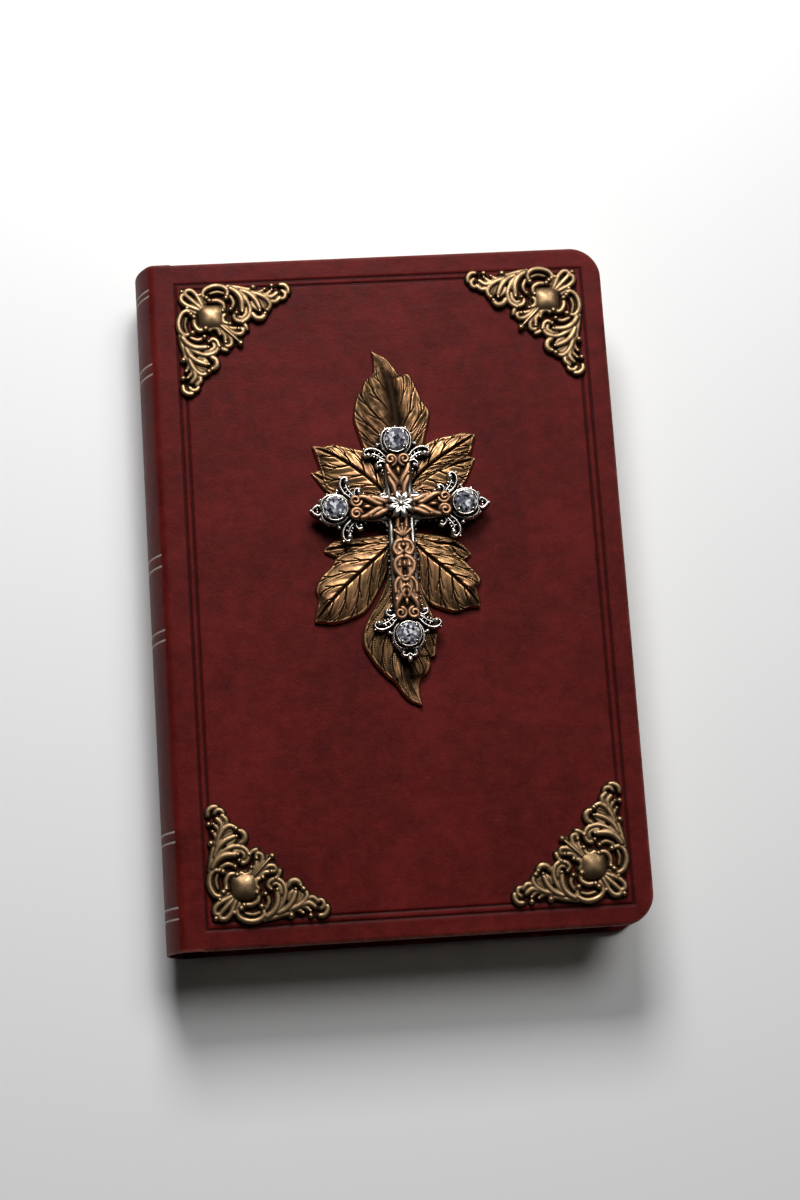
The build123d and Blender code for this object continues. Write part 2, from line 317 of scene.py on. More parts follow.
def crystal_material():
    """Foil-backed cut glass with painted reflections: its facets are painted in random cells flashing white,
    pale blue and violet over a painted dark depth.
    """
    s = Shader("cut_crystal", (0.8, 0.82, 0.9), 0.04)
    s.surface.inputs["IOR"].default_value = 1.6
    s.surface.inputs["Transmission Weight"].default_value = 0.25
    place = s.place()
    painted_facet_cells = s.node("ShaderNodeTexVoronoi", {"feature": "F1"}, Vector=place, Scale=1.25).outputs["Color"]
    level = s.node("ShaderNodeSeparateColor", {}, Color=painted_facet_cells)
    # painted reflections: each facet cell is painted dark, grey, violet or white in place of the glints of
    # the cut glass
    depth = s.mix(s.range(level.outputs[0], 0.25, 0.75), (0.014, 0.015, 0.018), (0.24, 0.25, 0.27))
    depth = s.mix(s.range(level.outputs[1], 0.68, 0.82), depth, (0.15, 0.13, 0.21))
    s.set(Base_Color=s.mix(s.range(level.outputs[2], 0.72, 0.86), depth, (0.92, 0.93, 0.97)))
    return s.material


def silk_material():
    """Two colours of thread wound side by side."""
    s = Shader("headband_silk", (0.6, 0.5, 0.3), 0.5)
    place = s.place()
    wave = s.node("ShaderNodeTexWave", {"bands_direction": "Z"}, Vector=place, Scale=0.157,
                  Distortion=0.15)
    stripe = s.range(wave.outputs["Fac"], 0.45, 0.55)
    s.set(Base_Color=s.mix(stripe, (0.62, 0.52, 0.34), (0.15, 0.016, 0.018)))
    s.surface.inputs["Sheen Weight"].default_value = 0.4
    return s.material


burgundy_leather = leather_material()
page_paper = paper_material("page_paper_cream", (0.74, 0.68, 0.55), True)
end_paper = paper_material("end_paper_ivory", (0.70, 0.66, 0.57), False)
grey_board = paper_material("grey_board", (0.30, 0.28, 0.25), False)
mull_cloth = woven_material("mull_cloth", (0.62, 0.58, 0.48), (0.20, 0.17, 0.12), 0.8)
tape_cloth = woven_material("tape_cloth", (0.70, 0.66, 0.56), (0.35, 0.30, 0.22), 0.45)
brass = antique_metal("antique_brass", (0.40, 0.260, 0.138), (0.056, 0.033, 0.017), 0.40,
                      top_z + 0.85, top_z + 1.75)
bronze = antique_metal("antique_bronze", (0.47, 0.265, 0.122), (0.024, 0.013, 0.007), 0.34, patina_and_shade=True,
                       warm=(0.56, 0.29, 0.145))
copper = antique_metal("antique_copper", (0.45, 0.245, 0.138), (0.032, 0.015, 0.008), 0.36,
                       top_z + 6.8, top_z + 8.0)
silver = antique_metal("antique_silver", (0.93, 0.86, 0.78), (0.014, 0.012, 0.011), 0.26,
                       top_z + 4.0, top_z + 5.4)
crystal_glass = crystal_material()
silk = silk_material()

# ---- the leather case -------------------------------------------------------
corner_r = 9.5  # the round corners at the fore-edge
edge_r = 1.2  # rounding of an edge over a board
fold_edge_r = 0.42  # rounding of an edge with no board in it
leather = 0.9  # thickness
roof_inset = 0.95  # how far inside the outline the inner face starts
fold_r = 3.0  # the fold between spine and cover
board_x = fold_x + 6.5  # where the board begins
flat_end = 60.0  # where even columns give way to those that follow the fore-edge
line_depth = 0.32
line_half_width = 0.42
# the two tooled rectangles, as x from and to and y from and to, and the heights of the spine's lines
frame_outer = (-60.0, 66.3, -99.4, 98.7)
frame_inner = (-58.0, 64.1, -97.3, 96.9)
spine_lines = (97.9, 95.9, 74.1, 70.9, 14.0, 10.5, -9.1, -12.2, -69.9, -72.9, -92.2, -95.5)


def near(places, offsets):
    """Every place plus every offset."""
    return [p + o for p in places for o in offsets]


def spread(low, high, step):
    """Even places from low to high."""
    return list(np.linspace(low, high, max(2, int(round((high - low) / step)) + 1)))


def thinned(values, gap):
    """Sorted values with those closer than gap to the one before left out."""
    kept = []
    for value in sorted(values):
        if not kept or value - kept[-1] >= gap:
            kept.append(value)
    return kept


def case_grid():
    """The leather grid, close together at lines and edges: y of its rows, x of its columns up to
    flat_end, and the rest of the columns as parts of the way from there to the fore-edge."""
    line_offsets = (-0.9, -0.55, -0.36, -0.18, 0, 0.18, 0.36, 0.55, 0.9)
    insets = (0, 0.04, 0.14, 0.3, 0.52, 0.82, 1.2, 1.8)
    rows = near(frame_outer[2:] + frame_inner[2:], line_offsets)
    rows += near(spine_lines, (-0.6, -0.3, 0, 0.3, 0.6))
    rows += spread(-half_height + corner_r, half_height - corner_r, 3.0)
    for side in (-1, 1):
        rows += [side * (half_height - i) for i in insets]
        for angle in range(6, 90, 6):
            rows.append(side * (half_height - corner_r + corner_r * math.sin(math.radians(angle))))
    rows = np.array(thinned(rows, 0.035))
    rows[0], rows[-1] = -half_height, half_height
    flat = near((frame_outer[0], frame_inner[0]), line_offsets) + spread(board_x + 4, flat_end, 3.0)
    flat += [board_x - 0.6, board_x + 0.2]
    flat = np.array(thinned([x for x in flat if x <= flat_end], 0.08))
    edge = near((frame_inner[1], frame_outer[1]), line_offsets)
    edge += spread(flat_end + 0.5, fore_edge - 2, 1.2)
    edge += [fore_edge - i for i in insets]
    edge = (np.array(thinned(edge, 0.035)) - flat_end) / (fore_edge - flat_end)
    edge[-1] = 1.0
    return rows, flat, edge


def rect_distance(x, y, rect):
    """Distance from the outline of a rectangle, on either side of it."""
    dx = np.abs(x - (rect[0] + rect[1]) / 2) - (rect[1] - rect[0]) / 2
    dy = np.abs(y - (rect[2] + rect[3]) / 2) - (rect[3] - rect[2]) / 2
    outside = np.hypot(np.maximum(dx, 0), np.maximum(dy, 0))
    return np.abs(outside + np.minimum(np.maximum(dx, dy), 0))


def case_half(name, upright, tooled):
    """Leather of one cover and its half of the spine: a closed skin with turned-in edges."""
    rows, flat, edge = case_grid()
    # the line of the outer face in x and z, from the middle of the spine to flat_end
    reach = spine_r - fold_r
    fold_centre_x = spine_centre[0] - math.sqrt(reach ** 2 - (mid_z - fold_r) ** 2)
    fold_centre = np.array([fold_centre_x, top_z - fold_r])
    turn = math.atan2(fold_centre[1] - spine_centre[1], fold_centre[0] - spine_centre[0])
    line = []
    for centre, radius, angles in (
        (spine_centre, spine_r, np.linspace(math.pi, turn, 18)[:-1]),
        (fold_centre, fold_r, np.linspace(turn, math.pi / 2, 9)),
    ):
        for a in angles:
            outward = (math.cos(a), math.sin(a))
            line.append((centre + radius * np.array(outward), outward))
    bend_columns = len(line)
    for x in flat:
        if x > fold_centre[0] + 0.3:
            line.append((np.array([x, top_z]), (0.0, 1.0)))
    line_xz = np.array([p for p, n in line])
    line_n = np.array([n for p, n in line])

    def layer(inset, depth_of):
        """The grid of points inset from the outline and sunk by depth_of(x, y)."""
        y = rows * (half_height - inset) / half_height
        over = np.maximum(np.abs(rows) - (half_height - corner_r), 0)
        end_x = fore_edge - corner_r + np.sqrt(np.maximum(corner_r ** 2 - over ** 2, 0))
        end_x = end_x - inset * (end_x - fore_edge + corner_r) / corner_r
        n_line = len(line_xz)
        x = np.empty((len(rows), n_line + len(edge)))
        z = np.full_like(x, top_z)
        nx = np.zeros_like(x)
        nz = np.ones_like(x)
        x[:, :n_line] = line_xz[:, 0]
        z[:, :n_line] = line_xz[:, 1]
        nx[:, :n_line] = line_n[:, 0]
        nz[:, :n_line] = line_n[:, 1]
        x[:, n_line:] = flat_end + edge[None] * (end_x[:, None] - flat_end)
        yy = np.repeat(y[:, None], x.shape[1], 1)
        depth = depth_of(x, yy)
        return np.stack([x - nx * depth, yy, z - nz * depth], -1)

    def outline_distance(x, y):
        """How far inside the cover's outline a point is, seen from above."""
        cx, cy = fore_edge - corner_r, half_height - corner_r
        qx, qy = x - cx, np.abs(y) - cy
        rounded = corner_r - np.hypot(np.maximum(qx, 0), np.maximum(qy, 0))
        rounded = rounded - np.minimum(np.maximum(qx, qy), 0)
        return np.where((qx > 0) & (qy > 0), rounded, np.minimum(fore_edge - x, half_height - np.abs(y)))

    def outer_depth(x, y):
        """How deep the rounded edges, tooled lines and stamped lines lie, which are also noted in values."""
        d = np.clip(outline_distance(x, y), 0, None)
        r = np.where(x < board_x - 0.3, fold_edge_r, edge_r)
        bulge = np.where(d < r, r - np.sqrt(np.clip(r ** 2 - (r - d) ** 2, 0, None)), 0)
        cut = np.zeros_like(x)
        if tooled:
            for rect in (frame_outer, frame_inner):
                cut += line_depth * np.exp(-(rect_distance(x, y, rect) / line_half_width) ** 2)
        on_spine = np.zeros_like(x)
        on_spine[:, : bend_columns - 7] = 1.0
        stamp = np.zeros_like(x)
        for place in spine_lines:
            stamp += np.exp(-((y - place) / 0.3) ** 2) * on_spine
        values["tooled"] = cut / line_depth
        values["stamped"] = stamp
        # closeness to the outline, for the edges painted lighter by wear and by a painted sheen
        values["edge_wear_and_sheen"] = np.exp(-(d / 0.55) ** 2)
        return bulge + cut + 0.16 * stamp

    values = {}
    outer = layer(0.0, outer_depth)
    n_rows, n_columns = outer.shape[:2]
    roof = layer(roof_inset, lambda x, y: np.full_like(x, leather))
    verts = [outer.reshape(-1, 3)]
    faces = [grid_faces(n_rows, n_columns)]
    base = n_rows * n_columns

    # the border runs tail row, fore-edge column, head row, and the spine's middle closes it
    column_ids = np.arange(n_columns)
    row_ids = np.arange(n_rows)
    border = [(0, c) for c in column_ids]
    border += [(r, n_columns - 1) for r in row_ids[1:]]
    border += [(n_rows - 1, c) for c in column_ids[::-1][1:]]
    border_r = np.array([b[0] for b in border])
    border_c = np.array([b[1] for b in border])
    edge_point = outer[border_r, border_c]
    roof_point = roof[border_r, border_c]
    n_line = len(line_xz)
    normal = np.zeros((len(border), 3))
    on_line = border_c < n_line
    normal[on_line, 0] = line_n[border_c[on_line], 0]
    normal[on_line, 2] = line_n[border_c[on_line], 1]
    normal[~on_line, 2] = 1
    inward = roof_point - edge_point
    inward -= normal * (inward * normal).sum(1)[:, None]
    inward /= np.linalg.norm(inward, axis=1)[:, None]
    boarded = np.clip((edge_point[:, 0] - board_x + 0.6) / 0.8, 0, 1)[:, None]
    start_depth = np.where(edge_point[:, 0] < board_x - 0.3, fold_edge_r, edge_r)[:, None]
    # (inset, depth) of each ring over the board, and over the bare leather of the fold and spine
    rings = [
        ((0.0, 2.5), (0.0, 0.50)),
        ((0.1, 2.85), (0.05, 0.70)),
        ((0.35, 3.05), (0.2, 0.86)),
        ((0.7, 3.1), (0.4, 0.895)),
        ((2.9, 3.1), (0.5, 0.90)),
        ((2.95, 2.94), (0.6, 0.90)),
        ((0.97, 2.92), (0.75, 0.90)),
    ]
    outline = edge_point + normal * start_depth
    ring_points = []
    for over_board, bare in rings:
        inset = boarded * over_board[0] + (1 - boarded) * bare[0]
        depth = boarded * over_board[1] + (1 - boarded) * bare[1]
        ring_points.append(outline + inward * inset - normal * depth)
    n_border = len(border)
    first_ids = border_r * n_columns + border_c
    previous = first_ids
    for k, points in enumerate(ring_points):
        verts.append(points)
        ids = base + k * n_border + np.arange(n_border)
        faces.append(np.stack([previous[:-1], ids[:-1], ids[1:], previous[1:]], 1))
        previous = ids
    roof_start = base + len(ring_points) * n_border
    verts.append(roof.reshape(-1, 3))
    faces.append(grid_faces(n_rows, n_columns, roof_start, flip=True))
    roof_ids = roof_start + first_ids
    faces.append(np.stack([previous[:-1], roof_ids[:-1], roof_ids[1:], previous[1:]], 1))
    # the cut at the middle of the spine, from the tail ring stack to the head one
    tail_chain = [0] + [base + k * n_border for k in range(len(ring_points))] + [roof_start]
    head_chain = [(n_rows - 1) * n_columns]
    head_chain += [base + k * n_border + n_border - 1 for k in range(len(ring_points))]
    head_chain.append(roof_start + (n_rows - 1) * n_columns)
    outer_column = [r * n_columns for r in range(n_rows)]
    roof_column = [roof_start + r * n_columns for r in range(n_rows)]
    face_list = [f for block in faces for f in block.tolist()]
    face_list += [[roof_column[r], roof_column[r + 1], outer_column[r + 1], outer_column[r]]
                  for r in range(1, n_rows - 2)]
    face_list.append([*tail_chain[::-1], outer_column[1], roof_column[1]])
    face_list.append([*head_chain, roof_column[-2], outer_column[-2]])
    points = np.vstack(verts)
    if not upright:
        points[:, 2] = top_z - points[:, 2]
        face_list = [f[::-1] for f in face_list]
    obj = new_object(name, points, face_list, sharp=50)
    for key, value in values.items():
        full = np.zeros(len(points), np.float32)
        full[:base] = value.ravel()
        keep_numbers(obj, key, full)
    return obj


front_leather = case_half("front_leather", True, True)
back_leather = case_half("back_leather", False, False)
for piece in (front_leather, back_leather):
    keep_rest(piece)
    piece.data.materials.append(burgundy_leather)
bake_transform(front_leather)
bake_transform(back_leather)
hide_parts("front_cover_skin", "spine_skin")
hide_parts("back_cover_skin")


# ---- pages ------------------------------------------------------------------
leaves_per_section = 12
page_r = 6.0
gutter_bend = 24.0


def leaf_stack(name, node, leaves):
    """A stack of leaves filling a CAD node's box, each leaf's edge a little in or out of line."""
    low, high = box_mm(node)
    xs = np.array(thinned(spread(low[0], low[0] + gutter_bend + 2, 1.3)
                          + spread(low[0] + gutter_bend + 2, high[0] - page_r, 6.0), 0.5))
    angles = np.linspace(0, math.pi / 2, 7)
    ys = np.linspace(low[1] + page_r, high[1] - page_r, 9)

    def border(inset):
        """The outline seen from above: up the spine edge, round the fore-edge, and back."""
        x1, y0, y1 = high[0] - inset, low[1] + inset, high[1] - inset
        r = page_r - inset
        points = [(low[0], y) for y in (y0, *ys, y1)]
        points += [(x, y1) for x in xs[1:-1]]
        points += [(x1 - r + r * math.sin(a), y1 - r + r * math.cos(a)) for a in angles]
        points += [(x1, y) for y in ys[::-1][1:-1]]
        points += [(x1 - r + r * math.cos(a), y0 + r - r * math.sin(a)) for a in angles]
        points += [(x, y0) for x in xs[::-1][:-1]][1:]
        return np.array(points)

    heights = np.linspace(low[2], high[2], leaves + 1)
    loops = []
    for k in range(leaves):
        inset = 0.02 + 0.16 * rng.random()
        thick = heights[k + 1] - heights[k]
        loops.append((inset, heights[k] + 0.12 * thick * (k > 0)))
        loops.append((inset, heights[k + 1] - 0.12 * thick * (k < leaves - 1)))
        if k < leaves - 1:
            loops.append((inset + 0.28, heights[k + 1]))
    verts = []
    faces = []
    count = len(border(0))
    for k, (inset, z) in enumerate(loops):
        outline = border(inset)
        verts += [(x, y, z) for x, y in outline]
        if k:
            for i in range(count):
                j = (i + 1) % count
                faces.append([(k - 1) * count + j, (k - 1) * count + i, k * count + i, k * count + j])
    obj_faces = list(faces)
    # each cap is strips between the head and tail edges, which have the same x places
    n_left = len(ys) + 2
    n_top = len(xs) - 2
    head = [n_left - 1] + list(range(n_left, n_left + n_top + len(angles)))
    tail_ids = [0] + [count - 1 - i for i in range(n_top + len(angles))]
    for k in (0, len(loops) - 1):
        start = k * count
        flip = k == 0
        rows = list(zip(head, tail_ids))
        left = list(range(0, n_left))
        middle = n_left + n_top + len(angles)
        for i in range(len(rows) - 1):
            (head_a, tail_a), (head_b, tail_b) = rows[i], rows[i + 1]
            quad = [start + v for v in (tail_a, tail_b, head_b, head_a)]
            if i == 0:
                quad = [start + v for v in (tail_a, tail_b, head_b, *left[::-1][:-1])]
            obj_faces.append(quad[::-1] if flip else quad)
        last = [start + rows[-1][1], *[start + v for v in range(middle, middle + len(ys) - 2)][::-1],
                start + rows[-1][0]]
        obj_faces.append(last[::-1] if flip else last)
    obj = new_object(name, verts, obj_faces, sharp=35)
    keep_rest(obj)
    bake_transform(obj)
    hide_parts(node)
    obj.data.materials.append(page_paper)
    return obj


for number in range(1, 11):
    section = f"section_{number:02d}"
    leaf_stack(f"pages_{number:02d}", section, leaves_per_section)
front_leaf = leaf_stack("free_endpaper_front", "front_flyleaf", 1)


# ---- cast metal -------------------------------------------------------------
class Relief:
    """Tubes and balls gathered up, then fused into one closed casting."""

    def __init__(self):
        self.verts = []
        self.faces = []
        self.count = 0

    def add(self, verts, faces):
        """Adds a closed shape."""
        self.verts.append(np.asarray(verts, float))
        self.faces.append(np.asarray(faces, int) + self.count)
        self.count += len(verts)

    def tube(self, points, radius, height, wide=1.0, tall=1.0, ends=1.0):
        """A rounded strand through (x, y) points, its radius times ends at each end.
        A third number in a point raises it above height."""
        segments = 10
        p = np.array([(*q, 0.0)[:3] for q in points], float)
        path = smooth_path(p, max(0.2, radius * 0.5))
        path[:, 2] += height
        n = len(path)
        along = np.linspace(0, 1, n)
        swell = ends + (1 - ends) * np.sin(np.pi * along) ** 0.6
        tangent = np.gradient(path, axis=0)
        tangent /= np.linalg.norm(tangent, axis=1)[:, None] + 1e-9
        side = np.stack([-tangent[:, 1], tangent[:, 0], np.zeros(n)], 1)
        side /= np.linalg.norm(side, axis=1)[:, None] + 1e-9
        up = np.cross(tangent, side)
        angle = np.linspace(0, 2 * np.pi, segments, endpoint=False)
        rings = []
        for cap in (75, 50, 25):
            a = math.radians(cap)
            r = radius * swell[0]
            rings.append((path[0] - tangent[0] * r * math.sin(a), side[0], up[0], r * math.cos(a)))
        for k in range(n):
            rings.append((path[k], side[k], up[k], radius * swell[k]))
        for cap in (25, 50, 75):
            a = math.radians(cap)
            r = radius * swell[-1]
            rings.append((path[-1] + tangent[-1] * r * math.sin(a), side[-1], up[-1], r * math.cos(a)))
        verts = []
        for centre, s, u, r in rings:
            across = np.cos(angle)[:, None] * s * wide
            verts.append(centre + r * (across + np.sin(angle)[:, None] * u * tall))
        verts = np.vstack(verts)
        faces = []
        for k in range(len(rings) - 1):
            a, b = k * segments, (k + 1) * segments
            for j in range(segments):
                i = (j + 1) % segments
                faces.append((a + j, a + i, b + i, b + j))
        first, last = len(verts), len(verts) + 1
        verts = np.vstack([verts, rings[0][0], rings[-1][0]])
        end = (len(rings) - 1) * segments
        for j in range(segments):
            i = (j + 1) % segments
            faces.append((first, i, j, j))
            faces.append((last, end + j, end + i, end + i))
        self.add(verts, faces)

    def ball(self, x, y, height, radius, tall=1.0, wide_x=1.0, turn=0.0, segments=14, square=2.0):
        """A ball, or an egg when tall or wide_x isn't 1. Seen from above it is a circle at square 2
        and a rounder-cornered square at higher powers."""
        rings = segments // 2
        verts = [(0, 0, -1)]
        for k in range(1, rings):
            a = math.pi * k / rings
            for j in range(segments):
                b = 2 * math.pi * j / segments
                verts.append((math.sin(a) * math.cos(b), math.sin(a) * math.sin(b), -math.cos(a)))
        verts.append((0, 0, 1))
        faces = []
        for j in range(segments):
            i = (j + 1) % segments
            faces.append((0, 1 + i, 1 + j, 1 + j))
            top = 1 + (rings - 2) * segments
            faces.append((len(verts) - 1, top + j, top + i, top + i))
            for k in range(rings - 2):
                a = 1 + k * segments
                faces.append((a + j, a + i, a + segments + i, a + segments + j))
        v = np.array(verts, float)
        flat = np.hypot(v[:, 0], v[:, 1])
        power = (np.abs(v[:, 0]) ** square + np.abs(v[:, 1]) ** square) ** (1 / square)
        v[:, :2] *= (flat / np.maximum(power, 1e-9))[:, None]
        v = v * (radius * wide_x, radius, radius * tall)
        c, s = math.cos(turn), math.sin(turn)
        v = np.stack([v[:, 0] * c - v[:, 1] * s + x, v[:, 0] * s + v[:, 1] * c + y, v[:, 2] + height], 1)
        self.add(v, faces)

    def fused(self, voxel):
        """One closed skin round everything above z = 0, with a flat underside there."""
        mesh = bpy.data.meshes.new("rough")
        faces = [[int(a) for a in dict.fromkeys(f)] for f in np.vstack(self.faces).tolist()]
        mesh.from_pydata(np.vstack(self.verts).tolist(), [], faces)
        obj = bpy.data.objects.new("rough", mesh)
        bpy.context.scene.collection.objects.link(obj)
        remesh = obj.modifiers.new("remesh", "REMESH")
        remesh.mode = "VOXEL"
        remesh.voxel_size = voxel
        smooth = obj.modifiers.new("smooth", "SMOOTH")
        smooth.factor = 0.5
        smooth.iterations = 1
        made = bpy.data.meshes.new_from_object(obj.evaluated_get(bpy.context.evaluated_depsgraph_get()))
        cut = bmesh.new()
        cut.from_mesh(made)
        geometry = cut.verts[:] + cut.edges[:] + cut.faces[:]
        bmesh.ops.bisect_plane(cut, geom=geometry, dist=0.004, plane_co=(0, 0, 0), plane_no=(0, 0, 1),
                               clear_inner=True)
        rim = [e for e in cut.edges if e.is_boundary]
        bmesh.ops.triangle_fill(cut, edges=rim, use_beauty=False, normal=(0, 0, -1))
        bmesh.ops.recalc_face_normals(cut, faces=cut.faces)
        cut.verts.index_update()
        co = np.array([v.co for v in cut.verts])
        quads = [[v.index for v in f.verts] for f in cut.faces]
        cut.free()
        bpy.data.objects.remove(obj)
        bpy.data.meshes.remove(made)
        bpy.data.meshes.remove(mesh)
        return co, quads


def set_down(name, shape, move, turn_x=(1, 0), turn_y=(0, 1), *, paint, slot, nodes, sharp=180):
    """A copy of a shape on the front cover at move, its x and y laid along turn_x and turn_y."""
    co, quads = shape
    x = co[:, 0] * turn_x[0] + co[:, 1] * turn_y[0] + move[0]
    y = co[:, 0] * turn_x[1] + co[:, 1] * turn_y[1] + move[1]
    z = co[:, 2] + move[2]
    flipped = turn_x[0] * turn_y[1] - turn_x[1] * turn_y[0] < 0
    obj = new_object(name, np.stack([x, y, z], 1), [q[::-1] for q in quads] if flipped else quads, sharp)
    obj.data.materials.append(paint)
    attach(obj, "front_cover")
    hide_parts(*nodes)


# ---- corner castings --------------------------------------------------------
def corner_casting():
    """Acanthus scrolls round a domed boss; u and v run in along the two legs."""
    strands = [
        # the C beside the boss, with its inner rib
        ([(3.9, 8.8), (2.8, 7.8), (1.1, 8.8), (0.1, 11.4), (0.4, 14.0), (1.8, 15.5), (3.8, 15.2)],
         0.50, 1.5),
        ([(2.5, 10.0), (2.0, 12.4), (2.6, 14.6)], 0.36, 1.2),
        # stem down the outer edge
        ([(0.3, 15.4), (0.9, 18.6), (1.5, 21.2), (1.7, 22.8)], 0.46, 1.4),
        # the large lobe: two ribs and a curled end
        ([(1.0, 16.2), (2.6, 18.4), (5.0, 19.7), (8.6, 19.8)], 0.60, 1.7),
        ([(1.4, 17.4), (3.0, 19.8), (5.4, 21.4), (8.0, 22.2), (10.6, 21.6), (11.9, 19.8), (11.5, 17.9),
          (10.2, 17.2), (9.2, 18.0)], 0.48, 1.6),
        ([(10.4, 18.6), (10.6, 19.8), (9.4, 20.8), (7.6, 21.0)], 0.42, 1.5),
        ([(3.4, 16.3), (5.6, 17.2), (7.4, 16.7)], 0.42, 1.3),
        # the middle lobe
        ([(1.9, 19.6), (3.2, 22.2), (5.2, 24.0), (8.0, 25.2)], 0.56, 1.6),
        ([(5.6, 22.7), (7.4, 23.5), (8.6, 25.0)], 0.42, 1.4),
        ([(9.5, 22.9), (10.9, 23.9), (11.1, 25.6), (9.9, 26.8)], 0.60, 1.5),
        ([(3.2, 23.6), (5.6, 25.6), (8.0, 26.6)], 0.30, 1.2),
        # the small lobe
        ([(2.7, 22.8), (3.6, 25.4), (4.9, 27.4), (6.6, 28.4), (8.2, 28.0)], 0.52, 1.5),
        ([(4.8, 25.6), (6.2, 26.9), (7.4, 27.1)], 0.34, 1.2),
        # ribs running down into the tip
        ([(2.4, 23.6), (2.7, 25.2), (1.9, 26.8)], 0.42, 1.3),
        ([(3.3, 25.6), (3.5, 27.4), (2.4, 28.9)], 0.42, 1.4),
        ([(3.9, 26.6), (4.4, 28.9), (3.1, 30.8)], 0.52, 1.5),
        ([(5.7, 28.4), (5.9, 30.2), (4.5, 31.7)], 0.50, 1.4),
        ([(0.5, 31.6), (0.7, 33.2), (2.0, 34.2), (3.4, 34.2)], 0.50, 1.4),
        ([(2.4, 32.2), (3.4, 33.2), (4.7, 33.0), (5.2, 32.0)], 0.46, 1.4),
        # the crescent that hugs the boss
        ([(5.0, 10.0), (4.9, 12.2), (6.0, 14.0), (7.9, 14.2)], 0.48, 1.5),
        # scrolls between the boss and the inner notch
        ([(9.3, 14.4), (10.6, 13.6), (12.0, 14.1), (12.5, 15.5)], 0.48, 1.6),
        ([(12.9, 14.6), (14.0, 16.2), (14.1, 18.0)], 0.46, 1.5),
        ([(12.4, 19.9), (13.4, 20.6), (14.6, 21.0)], 0.46, 1.4),
        ([(12.8, 13.4), (14.6, 15.4), (15.8, 17.4), (15.8, 19.2), (14.6, 19.7), (14.0, 18.8)], 0.48, 1.5),
        # curls at the outer corner
        ([(7.6, 6.4), (6.6, 4.2), (5.8, 2.6), (4.4, 1.3), (2.9, 1.4), (2.6, 2.7), (3.6, 3.3)], 0.50, 1.4),
        ([(8.6, 5.6), (8.0, 4.2), (6.9, 3.0)], 0.42, 1.3),
    ]
    balls = [
        (4.0, 9.0, 0.78, 1.6), (4.2, 15.0, 0.85, 1.6), (1.1, 23.5, 0.95, 1.3), (9.1, 18.0, 0.62, 1.7),
        (8.8, 19.8, 0.62, 1.7), (7.8, 16.3, 0.72, 1.4), (8.6, 27.5, 0.85, 1.4), (1.7, 27.0, 0.55, 1.2),
        (0.7, 29.2, 0.78, 1.2), (2.1, 29.2, 0.5, 1.3), (4.9, 9.9, 0.78, 1.5), (8.3, 13.8, 0.80, 1.6),
        (12.6, 15.8, 0.66, 1.6), (14.2, 18.4, 0.66, 1.5), (12.2, 19.6, 0.66, 1.5),
        (6.9, 2.9, 0.62, 1.3), (8.7, 25.2, 0.55, 1.5), (5.1, 31.5, 0.5, 1.3), (9.7, 26.7, 0.66, 1.4),
    ]
    relief = Relief()
    for swap in (False, True):
        for points, radius, height in strands:
            line = [(v, u) if swap else (u, v) for u, v in points]
            relief.tube(line, radius * 1.08, height - 0.15, wide=1.65, tall=1.15, ends=0.78)
            # the sunk web that joins the scrolls
            relief.tube(line, radius + 0.80, 0.0, tall=0.86, ends=0.85)
        for u, v, radius, height in balls:
            x, y = (v, u) if swap else (u, v)
            relief.ball(x, y, height - 0.05, radius * 1.12)
            relief.ball(x, y, 0.0, radius + 0.4, tall=0.6)
    # the boss is a cushion drawn out at its corners
    for horn, radius in (((4.4, 4.4), 1.5), ((15.4, 15.4), 1.5), ((7.0, 13.2), 1.5), ((13.2, 7.0), 1.5)):
        relief.tube([horn, (10.2, 10.2)], radius, 0.5, tall=0.8, ends=0.45)
    relief.tube([(1.8, 1.8), (4.6, 4.6), (7.6, 7.6)], 0.8, 1.1, wide=1.2, ends=0.6)
    relief.ball(1.5, 1.5, 1.2, 0.75)
    relief.tube([(2.6, 2.6), (7.4, 7.4)], 2.2, 0.0, tall=0.34)
    relief.tube([(13.0, 13.0), (16.2, 16.2), (18.2, 18.2)], 0.66, 1.5, ends=0.7, tall=1.2)
    relief.tube([(12, 12), (17.6, 17.6)], 2.2, 0.0, tall=0.34)
    relief.ball(18.8, 18.8, 1.2, 1.05)
    relief.ball(10.2, 10.2, 0.0, 4.5, tall=0.66, segments=56, square=3.4)
    relief.ball(10.2, 10.2, 0.0, 5.6, tall=0.18, segments=36)
    return relief.fused(0.175)


casting = corner_casting()
corner_places = {
    "head_spine": (-59.5, 97.5, 1, -1),
    "head_fore": (64.9, 98.6, -1, -1),
    "tail_spine": (-58.7, -97.8, 1, 1),
    "tail_fore": (65.0, -97.8, -1, 1),
}
for name, (x, y, turn_x, turn_y) in corner_places.items():
    set_down(f"corner_casting_{name}", casting, (x, y, top_z), (turn_x, 0), (0, turn_y),
             paint=brass, slot="corner_brass", nodes=(f"corner_{name}",))

# ---- leaf sprays ------------------------------------------------------------
def along(points, count):
    """count points at even steps of length along a smooth line through points."""
    line = smooth_path(points, 0.25)
    run = np.concatenate([[0], np.cumsum(np.linalg.norm(np.diff(line, axis=0), axis=1))])
    t = np.linspace(0, run[-1], count)
    return np.stack([np.interp(t, run, line[:, k]) for k in range(2)], 1), run[-1]


def groove(distance, width):
    """A rounded groove: 1 at its middle, 0 past its width."""
    return np.exp(-(distance / width) ** 2)


